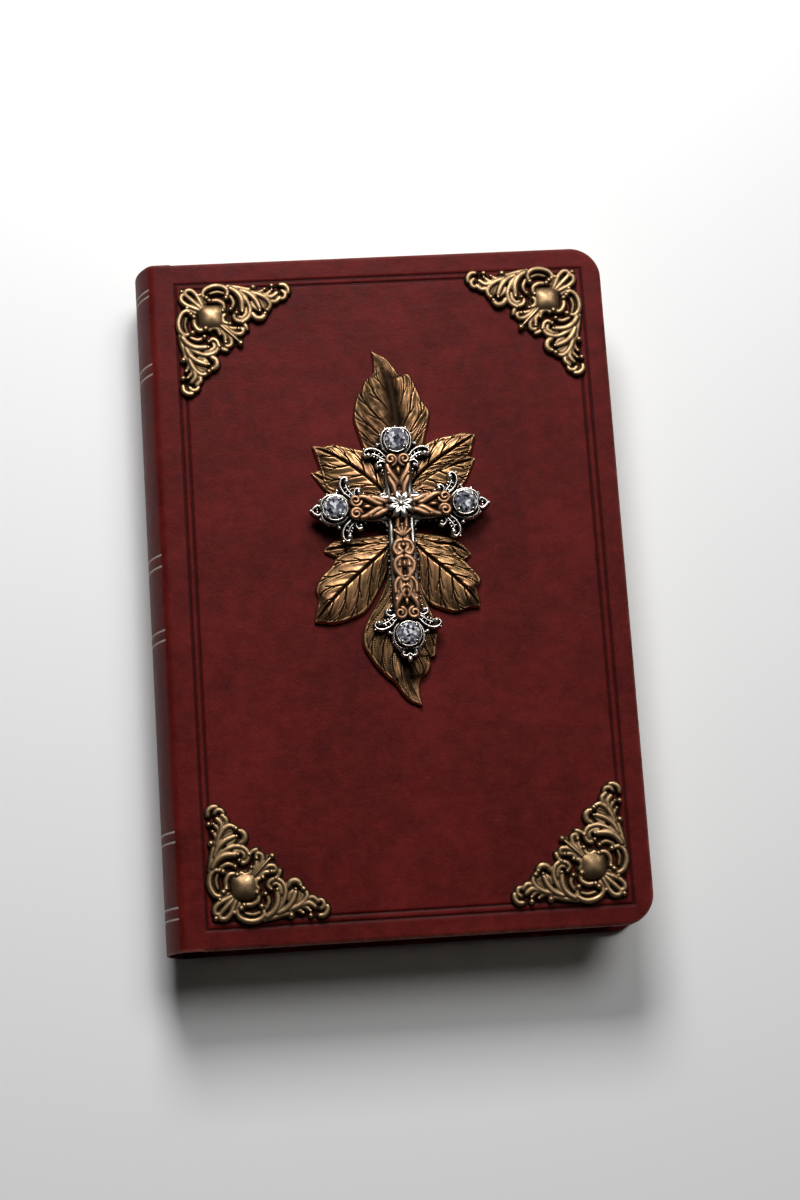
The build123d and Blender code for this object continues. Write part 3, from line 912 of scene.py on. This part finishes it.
def blade(midrib, left, right, veins, lift=0.0, hump=1.9, channel=0.0, painted_side_shade=(0.0, 0.0)):
    """One leaf: two sloping halves with a cut midrib and branching veins. lift raises it, hump is
    how far its middle stands up, channel is the width of a valley along the midrib, and
    painted_side_shade is how much painted shade darkens the left and right halves. Returns its
    points, its faces and how dark each point is painted, from patina in its hollows and painted shade."""
    across = 44
    _, length = along(midrib, 10)
    rows = int(length / 0.19)
    middle, _ = along(midrib, rows)
    t = np.linspace(0, 1, rows)[:, None]
    halves = []
    patina_and_shade_halves = []
    for side, side_shade in ((left, painted_side_shade[0]), (right, painted_side_shade[1])):
        edge, _ = along(side, rows)
        reach = np.linalg.norm(edge - middle, axis=1)[:, None]
        s = np.linspace(0, 1, across + 1)[None]
        out = s * reach
        # side veins leave the midrib at a slant, and each sends out short branches on both sides
        phase = veins * (t - 0.30 * s ** 1.25) + 0.5
        offset = phase - np.round(phase)
        gap = 0.78 * length / veins
        vein = groove(offset * gap, 0.22 - 0.08 * s)
        branch = np.zeros_like(vein)
        for where, turn in ((0.20, 1), (0.36, -1), (0.55, 1), (0.68, -1)):
            run = s - where
            alive = np.clip(run / 0.02, 0, 1) * np.clip((0.30 - run) / 0.06, 0, 1)
            branch = np.maximum(branch, alive * groove((offset - turn * 1.25 * run) * gap, 0.14))
        pillow = 1 - (2 * offset) ** 2
        reaches = np.clip(reach / 4.0, 0, 1)
        fade = np.clip(out / 0.7, 0, 1) * np.clip((reach - out) / 1.0, 0, 1) * reaches
        grain = np.cos(2 * np.pi * (7 * phase + 1.3 * s)) * reaches
        body = hump * (1 - s ** 1.9) * np.clip(reach / 5.5, 0, 1) ** 0.7
        if channel:
            valley = groove(out, channel)
            body = body - 1.9 * valley * reaches
            fade = fade * (1 - valley)
            sunk = 0.85 * valley * reaches
        else:
            sunk = groove(out, 0.26) * np.clip(reach / 2.0, 0, 1)
            body = body - 0.75 * groove(out, 0.40) * np.clip(reach / 2.0, 0, 1)
        h = 1.15 + lift + body + fade * (0.20 * pillow - 0.42 * vein - 0.28 * branch + 0.008 * grain)
        rim = np.clip((reach - out) / 0.45, 0, 1)
        h = h - 0.35 * (1 - np.sqrt(np.clip(1 - (1 - rim) ** 2, 0, 1)))
        h = h + 0.24 * groove(reach - out - 0.6, 0.38) * reaches
        patina_and_shade = np.maximum(np.maximum(vein, 0.9 * branch) * np.clip(fade * 1.6, 0, 1), sunk)
        patina_and_shade = np.maximum(patina_and_shade, 0.55 * groove(reach - out - 1.35, 0.35) * reaches)
        # painted shade over a whole half of the leaf, none at its rim and less near the midrib
        painted_shade_on_side = side_shade * np.clip((reach - out) / 0.9, 0, 1) * np.clip(s / 0.15, 0.4, 1)
        patina_and_shade = np.maximum(patina_and_shade, painted_shade_on_side)
        x = middle[:, :1] + s * (edge - middle)[:, :1]
        y = middle[:, 1:] + s * (edge - middle)[:, 1:]
        halves.append(np.stack([x, y, np.maximum(h, 0.35)], -1))
        patina_and_shade_halves.append(patina_and_shade)
    top = np.concatenate([halves[0][:, ::-1], halves[1][:, 1:]], 1)
    patina_and_shade = np.concatenate([patina_and_shade_halves[0][:, ::-1], patina_and_shade_halves[1][:, 1:]], 1)
    columns = top.shape[1]
    ground = top[:, [0, across, columns - 1]].copy()
    ground[..., 2] = 0.0
    verts = np.vstack([top.reshape(-1, 3), ground.reshape(-1, 3)])
    # the ground points under the side walls count as fully dark: painted shade at the foot of each leaf
    # where it meets the leather
    patina_and_shade = np.concatenate([patina_and_shade.ravel(), np.ones(rows * 3)])
    g = rows * columns
    faces = grid_faces(rows, columns).tolist() + grid_faces(rows, 3, g, flip=True).tolist()
    for r in range(rows - 1):
        a, b = r * columns, (r + 1) * columns
        p, q = g + r * 3, g + (r + 1) * 3
        faces.append([a, b, q, p][::-1])
        faces.append([a + columns - 1, p + 2, q + 2, b + columns - 1][::-1])
    last = (rows - 1) * columns
    faces.append([*range(0, across + 1), g + 1, g][::-1])
    faces.append([*range(across, columns), g + 2, g + 1][::-1])
    end = g + (rows - 1) * 3
    faces.append([*range(last, last + across + 1), end + 1, end])
    faces.append([*range(last + across, last + columns), end + 2, end + 1])
    # a blade whose midrib runs the other way comes out inside out
    step_along, step_across = top[1, across] - top[0, across], top[0, across + 1] - top[0, across]
    if step_along[0] * step_across[1] - step_along[1] * step_across[0] > 0:
        faces = [f[::-1] for f in faces]
    return verts, faces, patina_and_shade


def spray(name, node, blades):
    """Several blades as one casting on the front cover."""
    verts = np.empty((0, 3))
    faces = []
    patina_and_shade = []
    for settings in blades:
        v, f, h = blade(**settings)
        faces += [[i + len(verts) for i in face] for face in f]
        verts = np.vstack([verts, v])
        patina_and_shade.append(h)
    verts[:, 2] += top_z
    obj = new_object(name, verts, faces, sharp=60)
    # each point's patina and painted shade, for the bronze to read
    keep_numbers(obj, "patina_and_shade", np.concatenate(patina_and_shade))
    obj.data.materials.append(bronze)
    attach(obj, "front_cover")
    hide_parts(node)


spray("leaves_upper", "leaf_spray_upper", [
    dict(midrib=[(3, 25), (-2, 31.5), (-8, 37), (-14, 41.2), (-20.8, 45)],
         left=[(2.5, 24.5), (-6, 27.6), (-13, 29.3), (-17.3, 31.5), (-18.6, 36), (-19.6, 40.2),
               (-20.9, 44.8)],
         right=[(4.5, 27), (2, 36), (-2, 41.5), (-6, 43.2), (-10, 44.2), (-14, 45.4),
                (-17.4, 44.9), (-20.9, 45.2)],
         veins=6),
    dict(midrib=[(0, 26.5), (-8, 30), (-15, 33), (-21.5, 36.6)],
         left=[(1, 25), (-8, 27.2), (-14, 28.6), (-17.6, 30.6), (-19.6, 33.4), (-21.6, 36.4)],
         right=[(0, 28), (-8, 32.5), (-14, 36), (-18, 37.6), (-21.4, 36.8)],
         veins=4, hump=1.2, lift=-0.45),
    dict(midrib=[(6, 27), (10, 33), (16, 38), (22, 41.8), (29, 46.2)],
         right=[(7, 26), (13, 31), (19, 35), (24, 38), (27.5, 40.2), (28.6, 43.2), (29.4, 45.9)],
         left=[(5, 28), (7, 37), (11.5, 42.2), (14, 44.2), (17.5, 45.8), (21.5, 46.5),
               (25.5, 47.2), (29.2, 46.6)],
         veins=6),
    dict(midrib=[(8, 28), (14, 33.8), (20, 36.4), (28.7, 38.8)],
         right=[(8, 26.5), (15, 27.2), (21.5, 28.2), (25.3, 31.2), (27.3, 35), (28.9, 38.5)],
         left=[(8, 30), (12, 37), (18, 40), (24, 40.8), (28.7, 39.1)],
         veins=5, hump=1.2, lift=-0.45),
    dict(midrib=[(4.6, 26), (4.9, 40), (5.3, 50), (4.9, 58), (3.9, 65), (1.9, 70.5), (-0.8, 74.2)],
         left=[(2, 26), (-2, 36), (-5.1, 43), (-6.5, 48), (-7.7, 52.5), (-7.4, 56.2), (-6.2, 60.3),
               (-5.0, 61.2),
               (-4.4, 63), (-3.6, 64.9), (-2.0, 65.8), (-0.8, 67.3), (-0.6, 70.4), (-0.9, 74)],
         right=[(7, 26), (10.5, 36), (13.2, 43), (14.0, 46.5), (15.2, 50.5), (15.9, 54.4),
                (14.2, 57.2), (12.9, 60.6),
                (11.7, 64), (10.4, 66.3), (8.6, 66.2), (7.2, 66.6), (5.6, 69.4), (3.2, 72.4),
                (-0.6, 74.3)],
         veins=8, channel=2.5, hump=2.1, lift=0.2, painted_side_shade=(0.50, 0.34)),
])
spray("leaves_lower", "leaf_spray_lower", [
    dict(midrib=[(2, 13.5), (-3, 9.3), (-8, 5.2), (-13.5, 0.5), (-18, -4), (-23, -9.6)],
         left=[(2, 11), (-1, 3), (-4.6, -3.5), (-8, -7.6), (-12.5, -9.6), (-17, -10.6),
               (-20.6, -10.3), (-23.2, -9.9)],
         right=[(2, 15), (-7, 13.4), (-13, 11.2), (-15.8, 9.6), (-17.8, 6.8), (-20.8, 4),
                (-22.4, 0.6), (-21.9, -2.4),
                (-22.6, -5.6), (-23.2, -9.4)],
         veins=6, painted_side_shade=(0.0, 0.25)),
    dict(midrib=[(3, 14), (-5, 13.2), (-11, 13.2), (-18.8, 12.4)],
         left=[(3, 12), (-5, 9.5), (-12, 9.2), (-15.6, 9.8), (-19, 11.6)],
         right=[(3, 16.5), (-6, 16.2), (-12, 15.6), (-16, 15.2), (-18.9, 13)],
         veins=4, hump=1.3, lift=-0.3),
    dict(midrib=[(7, 14.5), (11.5, 9.6), (16, 5.4), (20, 1.5), (24, -3), (27, -7.4)],
         right=[(6.5, 12), (8, 2), (11, -5.2), (15, -7.6), (19.6, -9), (23.2, -8), (26.8, -7.8)],
         left=[(7, 16), (15, 13), (20.5, 10), (23.6, 6.8), (26.3, 3.8), (28, 0.8), (26.6, -1.6),
               (27.2, -4.6), (27.1, -7.2)],
         veins=6),
    dict(midrib=[(7, 15), (14, 13), (20, 12), (25.3, 9)],
         right=[(7, 13), (14, 9.5), (19.6, 6.9), (23.4, 6.9), (25.4, 8.6)],
         left=[(7, 17), (14, 15.8), (18.5, 14.8), (22.5, 12.9), (25.4, 9.4)],
         veins=4, hump=1.3, lift=-0.3),
    dict(midrib=[(4.4, 20), (3.6, 5), (2.8, -8), (3.0, -19), (4.2, -28), (7.3, -36.6)],
         left=[(6.5, 20), (9, 4), (10.2, -2.5), (11.6, -6.5), (13.2, -11), (13.7, -15.4),
               (13.1, -19.2), (12.6, -21.9),
               (10.9, -22.4), (11, -24.6), (9.9, -27), (7.8, -28.6), (7.2, -32), (7.6, -36.6)],
         right=[(2.5, 20), (-0.5, 4), (-3.2, -3), (-6.6, -8.6), (-8.8, -13), (-9.1, -17.4),
                (-7.4, -21.2), (-5.4, -24.4),
                (-2.8, -27.4), (-0.4, -29.6), (1.6, -32.8), (4, -35.4), (7.1, -37)],
         veins=9, channel=2.2, hump=2.1, lift=0.2, painted_side_shade=(0.35, 0.20)),
])

# ---- the cross --------------------------------------------------------------
flower_low, flower_high = box_mm("cross_flower")
base_z, overlay_z, flower_z = [box_mm(n)[0][2] for n in ("cross_base", "cross_overlay", "cross_flower")]
cross_at = (flower_low + flower_high)[:2] / 2


def stone_place(end):
    """Where a crystal stands."""
    low, high = box_mm(f"crystal_{end}")
    return (low + high)[:2] / 2


arm_ends = {"top": (0, 1), "left": (-1, 0), "right": (1, 0), "bottom": (0, -1)}


def arm_places(out_x, out_y):
    """The function from p out along an arm and q across it to x and y from the crossing."""
    return lambda p, q: (p * out_x - q * out_y, p * out_y + q * out_x)


def arm_end(end):
    """Filigree round one crystal: p runs out along the arm, q across it, from the crystal."""
    relief = Relief()
    curls = [
        # the ring, as two scrolls that curl in at the outer end
        ([(-4.4, 0.9), (-3.9, 2.2), (-2.2, 3.9), (0.2, 4.5), (2.4, 4.1), (3.9, 2.7), (3.9, 1.2),
          (2.9, 0.7)], 0.36, 2.3),
        # the ear, a double wire with a ball at its end
        ([(-5.6, 2.0), (-4.6, 3.6), (-2.9, 5.2), (-2.0, 7.2), (-2.2, 9.0), (-3.3, 9.9), (-4.3, 9.4)],
         0.34, 2.0),
        ([(-6.2, 2.6), (-5.4, 4.4), (-4.2, 5.9), (-3.6, 7.4)], 0.30, 1.9),
        # the small curl behind the ear
        ([(-6.4, 3.6), (-6.0, 5.0), (-6.8, 6.2), (-7.9, 6.0)], 0.32, 1.8),
    ]
    if end == "bottom":
        curls.append(([(4.0, 0.4), (4.6, 1.8), (5.9, 2.0), (6.3, 0.9), (5.6, 0.2)], 0.40, 1.7))
    elif end != "top":
        curls.append(([(3.8, 0.5), (5.0, 1.5), (6.2, 1.0), (7.0, 0.0)], 0.42, 1.7))
    beads = [
        (2.5, 1.9, 0.62, 2.2), (-4.0, 8.6, 0.82, 2.0), (-0.9, 5.7, 0.66, 1.8), (-7.5, 5.2, 0.66, 1.8),
        (-8.9, 4.6, 0.40, 1.6), (2.2, 4.8, 0.36, 2.1), (4.2, 3.2, 0.36, 2.1), (-0.6, 5.0, 0.30, 2.1),
        (-4.6, 6.9, 0.36, 1.9), (-4.2, 7.7, 0.36, 1.9), (-5.0, 6.0, 0.34, 1.8), (-5.6, 5.2, 0.32, 1.7),
        (-3.2, 6.6, 0.30, 1.9), (-3.7, 5.4, 0.30, 1.9), (-4.6, 4.4, 0.30, 1.9), (-2.0, 9.9, 0.36, 1.8),
    ]
    if end == "top":
        beads += [(3.9, 2.6, 0.42, 2.3), (4.5, 0.0, 0.42, 2.3)]
    else:
        beads += [(5.2, 1.6, 0.5, 1.6), (5.4, 0.4, 0.36, 1.5), (4.6, 2.8, 0.40, 1.8)]
    for side in (-1, 1):
        for points, radius, height in curls:
            line = [(p, side * q) for p, q in points]
            relief.tube(line, radius, height, tall=1.25, ends=0.85)
            relief.tube(line, radius + 0.30, height - 1.0, tall=1.6, ends=0.9)
            relief.tube(line, radius + 0.45, 0.0, tall=1.2, ends=0.9)
        for p, q, radius, height in beads:
            relief.ball(p, side * q, height, radius)
            relief.tube([(p, side * q, 0.0), (p + 0.01, side * q, height - 0.2)], radius * 0.8, 0.0)
    for k in range(22):
        # beads round the inside of the ring
        a = 2 * math.pi * k / 22
        relief.ball(3.62 * math.cos(a), 3.62 * math.sin(a), 2.55, 0.27, segments=8)
    if end == "bottom":
        relief.ball(7.3, 0, 1.5, 0.75, wide_x=1.35)
    elif end != "top":
        relief.ball(7.3, 0, 1.6, 0.55)
    relief.ball(0, 0, 0.0, 4.7, tall=0.32, segments=40)
    relief.tube([(-7.5, 0), (-3.5, 0)], 2.6, 0.0, tall=0.42)
    return relief.fused(0.12)


def crystal_seat():
    """The cup under a crystal: a low wall, claws over the stone's edge."""
    relief = Relief()
    round_points = [(3.72 * math.cos(a), 3.72 * math.sin(a)) for a in np.linspace(0, 2 * math.pi, 33)]
    for height, radius in ((0.25, 0.26), (0.7, 0.22), (1.15, 0.22), (1.5, 0.20)):
        relief.tube(round_points, radius, height, tall=1.2)
    relief.ball(0, 0, 0.18, 3.8, tall=0.05, segments=40)
    for k in range(4):
        a = math.pi / 4 + k * math.pi / 2
        claw = [(3.95, 0.9), (3.75, 1.7), (3.25, 2.0), (2.95, 2.05)]
        relief.tube([(r * math.cos(a), r * math.sin(a), h) for r, h in claw], 0.30, 0.0, ends=0.8)
    return relief.fused(0.11)


def cross_arms():
    """Silver arms under the copper: a plate, bright side rails and bead rows, from the crossing."""
    relief = Relief()
    for end, (out_x, out_y) in arm_ends.items():
        stone = stone_place(end) - cross_at
        reach = abs(stone @ (out_x, out_y)) - 4.6

        at = arm_places(out_x, out_y)
        relief.tube([at(0, 0), at(reach, 0)], 3.1, 0.2, tall=0.30)
        for side in (-1, 1):
            relief.tube([at(3.4, 3.15 * side), at(reach * 0.5, 3.1 * side), at(reach - 0.8, 3.05 * side)],
                        0.72, 1.6, wide=1.25, tall=1.1, ends=0.75)
            relief.tube([at(3.2, 3.0 * side), at(reach - 0.4, 3.0 * side)], 0.8, 0.4, tall=1.0)
            count = int((reach - 5.5) / 1.9)
            for k in range(count):
                p = 5.0 + 1.9 * k
                bead = at(p, 4.35 * side)
                relief.ball(*bead, 0.8, 0.34 if k % 3 else 0.5)
                relief.tube([at(p, 3.2 * side), bead], 0.42, 0.5)
        for side in (-1, 1):
            # scrolls in the angles of the cross
            scroll = ((3.2, 3.4), (4.4, 4.2), (4.2, 5.6), (3.2, 5.9))
            relief.tube([at(p, q * side) for p, q in scroll], 0.36, 1.1)
            relief.ball(*at(3.3, 5.4 * side), 1.2, 0.55)
    return relief.fused(0.15)


def cross_scrolls():
    """The copper scrollwork over the arms."""
    relief = Relief()

    def arm(out_x, out_y, reach):
        """Volutes at the end of an arm and strands that run from them to the crossing."""
        at = arm_places(out_x, out_y)
        relief.tube([at(0, 0), at(reach - 2, 0)], 2.2, 0.1, tall=0.44)
        relief.ball(*at(reach - 1.9, 0), 0.1, 3.5, tall=0.24, segments=28)
        turn = math.atan2(out_y, out_x)
        relief.ball(*at(reach - 5.2, 0), 0.9, 0.85, wide_x=1.9, tall=1.2, turn=turn)
        relief.ball(*at(3.6, 0), 0.9, 0.9, wide_x=1.5, tall=1.1, turn=turn)
        for side in (-1, 1):
            volute = []
            for k in range(19):
                a = math.radians(-80 + 27 * k)
                r = 1.85 - 0.078 * k
                p, q = reach - 1.75 + r * math.sin(a), side * (2.05 - r * math.cos(a))
                volute.append((*at(p, q), 0.03 * k))
            relief.tube(volute, 0.60, 1.2, wide=1.15, tall=1.2, ends=0.8)
            tongue = ((1.0, 0.4), (2.6, 0.5), (3.6, 1.2))
            strand = ((3.0, 3.3), (4.8, 2.9), (6.6, 1.9), (8.2, 0.9), (9.6, 0.6))
            leaf = ((6.2, 3.0), (8.2, 2.5), (10.2, 1.6))
            tongue, strand, leaf = [[at(reach - p, q * side) for p, q in line]
                                    for line in (tongue, strand, leaf)]
            relief.tube(tongue, 0.46, 1.2)
            relief.tube(strand, 0.76, 1.2, wide=1.4, tall=1.1, ends=0.6)
            relief.tube([*leaf, at(2.4, 1.2 * side)], 0.72, 1.1, wide=1.45, tall=1.1, ends=0.7)
            relief.ball(*at(reach - 6.0, 3.0 * side), 1.2, 0.80)
            relief.ball(*at(3.2, 2.3 * side), 1.2, 0.72)
            relief.ball(*at(reach - 3.4, 1.5 * side), 1.3, 0.5)

    for end, (out_x, out_y) in arm_ends.items():
        stone = stone_place(end) - cross_at
        reach = abs(stone @ (out_x, out_y)) - 4.5
        arm(out_x, out_y, reach)

    def low(q, p):
        """A place q across the lower arm and p down it."""
        return (q, -p)

    # the long lower arm has more: a shell, a pair of volutes and a heart, from the crossing down
    relief.tube([low(0, 3), low(0, 32)], 2.5, 0.1, tall=0.38)
    for k in range(5):
        a = math.radians(-64 + 32 * k)
        tip = low(2.6 * math.sin(a), 9.2 - 3.1 * math.cos(a))
        relief.tube([low(0.5 * math.sin(a), 9.4), tip], 0.66, 1.35, tall=1.15, ends=0.9)
        relief.ball(*tip, 1.4, 0.72)
    for side in (-1, 1):
        for points, radius, height, wide, tall in (
            (((0.4, 10.8), (2.0, 11.4), (2.9, 13.4), (1.9, 15.2), (0.6, 14.4), (1.2, 13.4)),
             0.68, 1.25, 1.3, 1.15),
            (((0.5, 15.8), (1.8, 16.4), (2.9, 18.0), (2.5, 20.2), (1.0, 22.2)), 0.74, 1.2, 1.35, 1.1),
            (((0.3, 23.2), (1.7, 22.4), (3.1, 24.2), (3.2, 26.8)), 0.68, 1.2, 1.3, 1.15),
            (((0.4, 24.6), (1.5, 26.0), (0.6, 28.2)), 0.62, 1.3, 1.25, 1.15),
        ):
            relief.tube([low(q * side, p) for q, p in points], radius, height, wide=wide, tall=tall)
        relief.ball(*low(1.5 * side, 18.6), 1.15, 0.95)
    relief.ball(*low(0, 12.4), 1.3, 1.0, tall=1.05)
    relief.ball(*low(0, 18.2), 1.1, 0.9, wide_x=1.7, turn=math.pi / 2, tall=1.2)
    relief.ball(*low(0, 22.0), 1.3, 0.72)
    return relief.fused(0.14)


def crossing_flower():
    """Eight ridged petals round a bead."""
    relief = Relief()
    for k in range(8):
        a = 2 * math.pi * (k + 0.35) / 8
        c, s = math.cos(a), math.sin(a)
        relief.ball(2.75 * c, 2.75 * s, 0.72, 1.06, wide_x=1.5, tall=0.92, turn=a, segments=18)
        for side in (-1, 1):
            q = 0.40 * side
            points = [(r * c - q * b * s, r * s + q * b * c, h) for r, b, h in
                      ((0.9, 0.6, 0.0), (2.5, 1.25, 0.2), (3.9, 1.0, -0.3))]
            relief.tube(points, 0.30, 1.2)
    relief.ball(0, 0, 1.35, 0.85)
    relief.ball(0, 0, 0.2, 2.2, tall=0.5)
    return relief.fused(0.11)


def brilliant():
    """A round cut stone: table, crown, girdle and pavilion facets."""
    rings = [(1.95, 2.85, 8, 0.0), (2.75, 2.42, 8, 0.5), (3.5, 1.72, 16, 0.25), (3.5, 1.52, 16, 0.25),
             (1.7, 0.62, 8, 0.5), (0.35, 0.42, 8, 0.0)]
    points = []
    for radius, height, count, turn in rings:
        for k in range(count):
            a = 2 * math.pi * (k + turn) / count + 0.2
            points.append((radius * math.cos(a), radius * math.sin(a), height))
    cut = bmesh.new()
    for p in points:
        cut.verts.new(p)
    bmesh.ops.convex_hull(cut, input=cut.verts)
    bmesh.ops.dissolve_limit(cut, angle_limit=0.02, verts=cut.verts, edges=cut.edges)
    bmesh.ops.recalc_face_normals(cut, faces=cut.faces)
    cut.verts.index_update()
    shape = (np.array([v.co for v in cut.verts]), [[v.index for v in f.verts] for f in cut.faces])
    cut.free()
    return shape


seat_shape = crystal_seat()
stone_shape = brilliant()
for end, (out_x, out_y) in arm_ends.items():
    x, y = stone_place(end)
    turned = dict(turn_x=(out_x, out_y), turn_y=(-out_y, out_x))
    set_down(f"cross_filigree_{end}", arm_end(end), (x, y, base_z), paint=silver, slot="cross_silver",
             nodes=("cross_base",), **turned)
    set_down(f"crystal_seat_{end}", seat_shape, (x, y, overlay_z), paint=silver, slot="cross_silver",
             nodes=(f"crystal_cup_{end}",), **turned)
    set_down(f"cut_crystal_{end}", stone_shape, (x, y, overlay_z), paint=crystal_glass, slot="crystal",
             nodes=(f"crystal_{end}",), sharp=1, **turned)
set_down("cross_arms", cross_arms(), (*cross_at, base_z), paint=silver, slot="cross_silver",
         nodes=("cross_base",))
set_down("cross_scrollwork", cross_scrolls(), (*cross_at, overlay_z), paint=copper,
         slot="overlay_copper", nodes=("cross_overlay",))
set_down("cross_centre_flower", crossing_flower(), (*cross_at, flower_z), paint=silver,
         slot="cross_silver", nodes=("cross_flower",))


# ---- bands and hidden parts -------------------------------------------------
def wound_band(name, node):
    """A cord wound with thread, on a flat tail that is glued to the folds."""
    low, high = box_mm(node)
    radius = (high[1] - low[1]) / 2 - 0.08
    x, y = high[0] - radius - 0.08, (low[1] + high[1]) / 2
    rows = int((high[2] - low[2]) / 0.09)
    around = 28
    z = np.linspace(low[2], high[2], rows)[:, None]
    a = np.linspace(0, 2 * math.pi, around, endpoint=False)[None]
    wound = radius + 0.07 * np.abs(np.cos(math.pi * (z / 0.5) - a / 2)) ** 0.7
    wound = wound * np.ones((rows, around))
    verts = np.stack([x + wound * np.cos(a), y + wound * np.sin(a), z + 0 * a], -1).reshape(-1, 3)
    faces = []
    for k in range(rows - 1):
        for j in range(around):
            i = (j + 1) % around
            faces.append([k * around + j, k * around + i, (k + 1) * around + i, (k + 1) * around + j])
    faces.append(list(range(around))[::-1])
    faces.append(list(range((rows - 1) * around, rows * around)))
    x0, x1, y0, y1 = low[0], x, y - 0.25, y + 0.25
    tail = [(px, py, pz) for pz in (low[2] + 0.2, high[2] - 0.2)
            for px, py in ((x0, y0), (x1, y0), (x1, y1), (x0, y1))]
    n = len(verts)
    verts = np.vstack([verts, tail])
    box = ((0, 3, 2, 1), (4, 5, 6, 7), (0, 1, 5, 4), (1, 2, 6, 5), (2, 3, 7, 6), (3, 0, 4, 7))
    faces += [[n + i for i in f] for f in box]
    obj = new_object(name, verts, faces, sharp=50)
    obj.data.materials.append(silk)
    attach(obj, "spine")
    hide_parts(node)


wound_band("headband_wound", "head_band")
wound_band("tailband_wound", "tail_band")
plain_parts = {
    "front_cover_board": grey_board, "back_cover_board": grey_board, "spine_inlay": grey_board,
    "front_pastedown": end_paper, "back_pastedown": end_paper, "back_flyleaf": end_paper,
    "spine_mull": mull_cloth, "sewing_tapes": tape_cloth,
}
for node, paint in plain_parts.items():
    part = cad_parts[node]
    part.data.materials.clear()
    part.data.materials.append(paint)


# ---- camera, light and floor ------------------------------------------------
def area_light(name, place, target, size, power):
    """A square soft light at place, aimed at target."""
    data = bpy.data.lights.new(name, "AREA")
    data.shape = "SQUARE"
    data.size = size
    data.energy = power
    light = bpy.data.objects.new(name, data)
    bpy.context.scene.collection.objects.link(light)
    light.location = place
    aim = np.array(target) - np.array(place)
    light.rotation_euler = Vector(aim.tolist()).to_track_quat("-Z", "Y").to_euler()


camera_data = bpy.data.cameras.new("camera")
camera_data.lens = 73.695
camera_data.sensor_width = 36
camera = bpy.data.objects.new("camera", camera_data)
camera.location = (-0.05239, -0.15228, 0.75497)
camera.rotation_euler = [math.radians(a) for a in (11.793, -3.584, -3.801)]
bpy.context.scene.collection.objects.link(camera)
bpy.context.scene.camera = camera

bpy.context.scene.view_settings.view_transform = "Standard"
world = bpy.data.worlds.new("studio")
world.use_nodes = True
sky = world.node_tree
direction = sky.nodes.new("ShaderNodeTexCoord").outputs["Generated"]
aim = sky.nodes.new("ShaderNodeVectorMath")
aim.operation = "DOT_PRODUCT"
sky.links.new(direction, aim.inputs[0])
aim.inputs[1].default_value = (-0.35, 0.75, 0.55)
level = sky.nodes.new("ShaderNodeMapRange")
sky.links.new(aim.outputs["Value"], level.inputs["Value"])
for key, number in {"From Min": -0.3, "From Max": 1.0, "To Min": 0.22, "To Max": 0.50}.items():
    level.inputs[key].default_value = number
sky.links.new(level.outputs["Result"], sky.nodes["Background"].inputs["Strength"])
bpy.context.scene.world = world
area_light("key", (-0.03, 0.50, 0.53), (0, 0, 0.02), 0.28, 4.8)
sun_data = bpy.data.lights.new("sun", "SUN")
sun_data.energy = 0.95
sun_data.angle = math.radians(24)
sun = bpy.data.objects.new("sun", sun_data)
sun.rotation_euler = Vector((0.30, 0.42, 0.80)).to_track_quat("Z", "Y").to_euler()
bpy.context.scene.collection.objects.link(sun)

floor_mesh = bpy.data.meshes.new("floor")
floor_mesh.from_pydata([(-9, -9, 0), (9, -9, 0), (9, 9, 0), (-9, 9, 0)], [], [(0, 1, 2, 3)])
floor = bpy.data.objects.new("floor", floor_mesh)
floor.location.z = -0.0002
bpy.context.scene.collection.objects.link(floor)
floor_paint = Shader("floor_paint", (0.96, 0.96, 0.955), 0.8)
floor_paint.set(Base_Color=floor_paint.mix(
    floor_paint.noise(floor_paint.place(), 0.002), (0.86, 0.86, 0.86), (0.88, 0.88, 0.88)))
floor.data.materials.append(floor_paint.material)
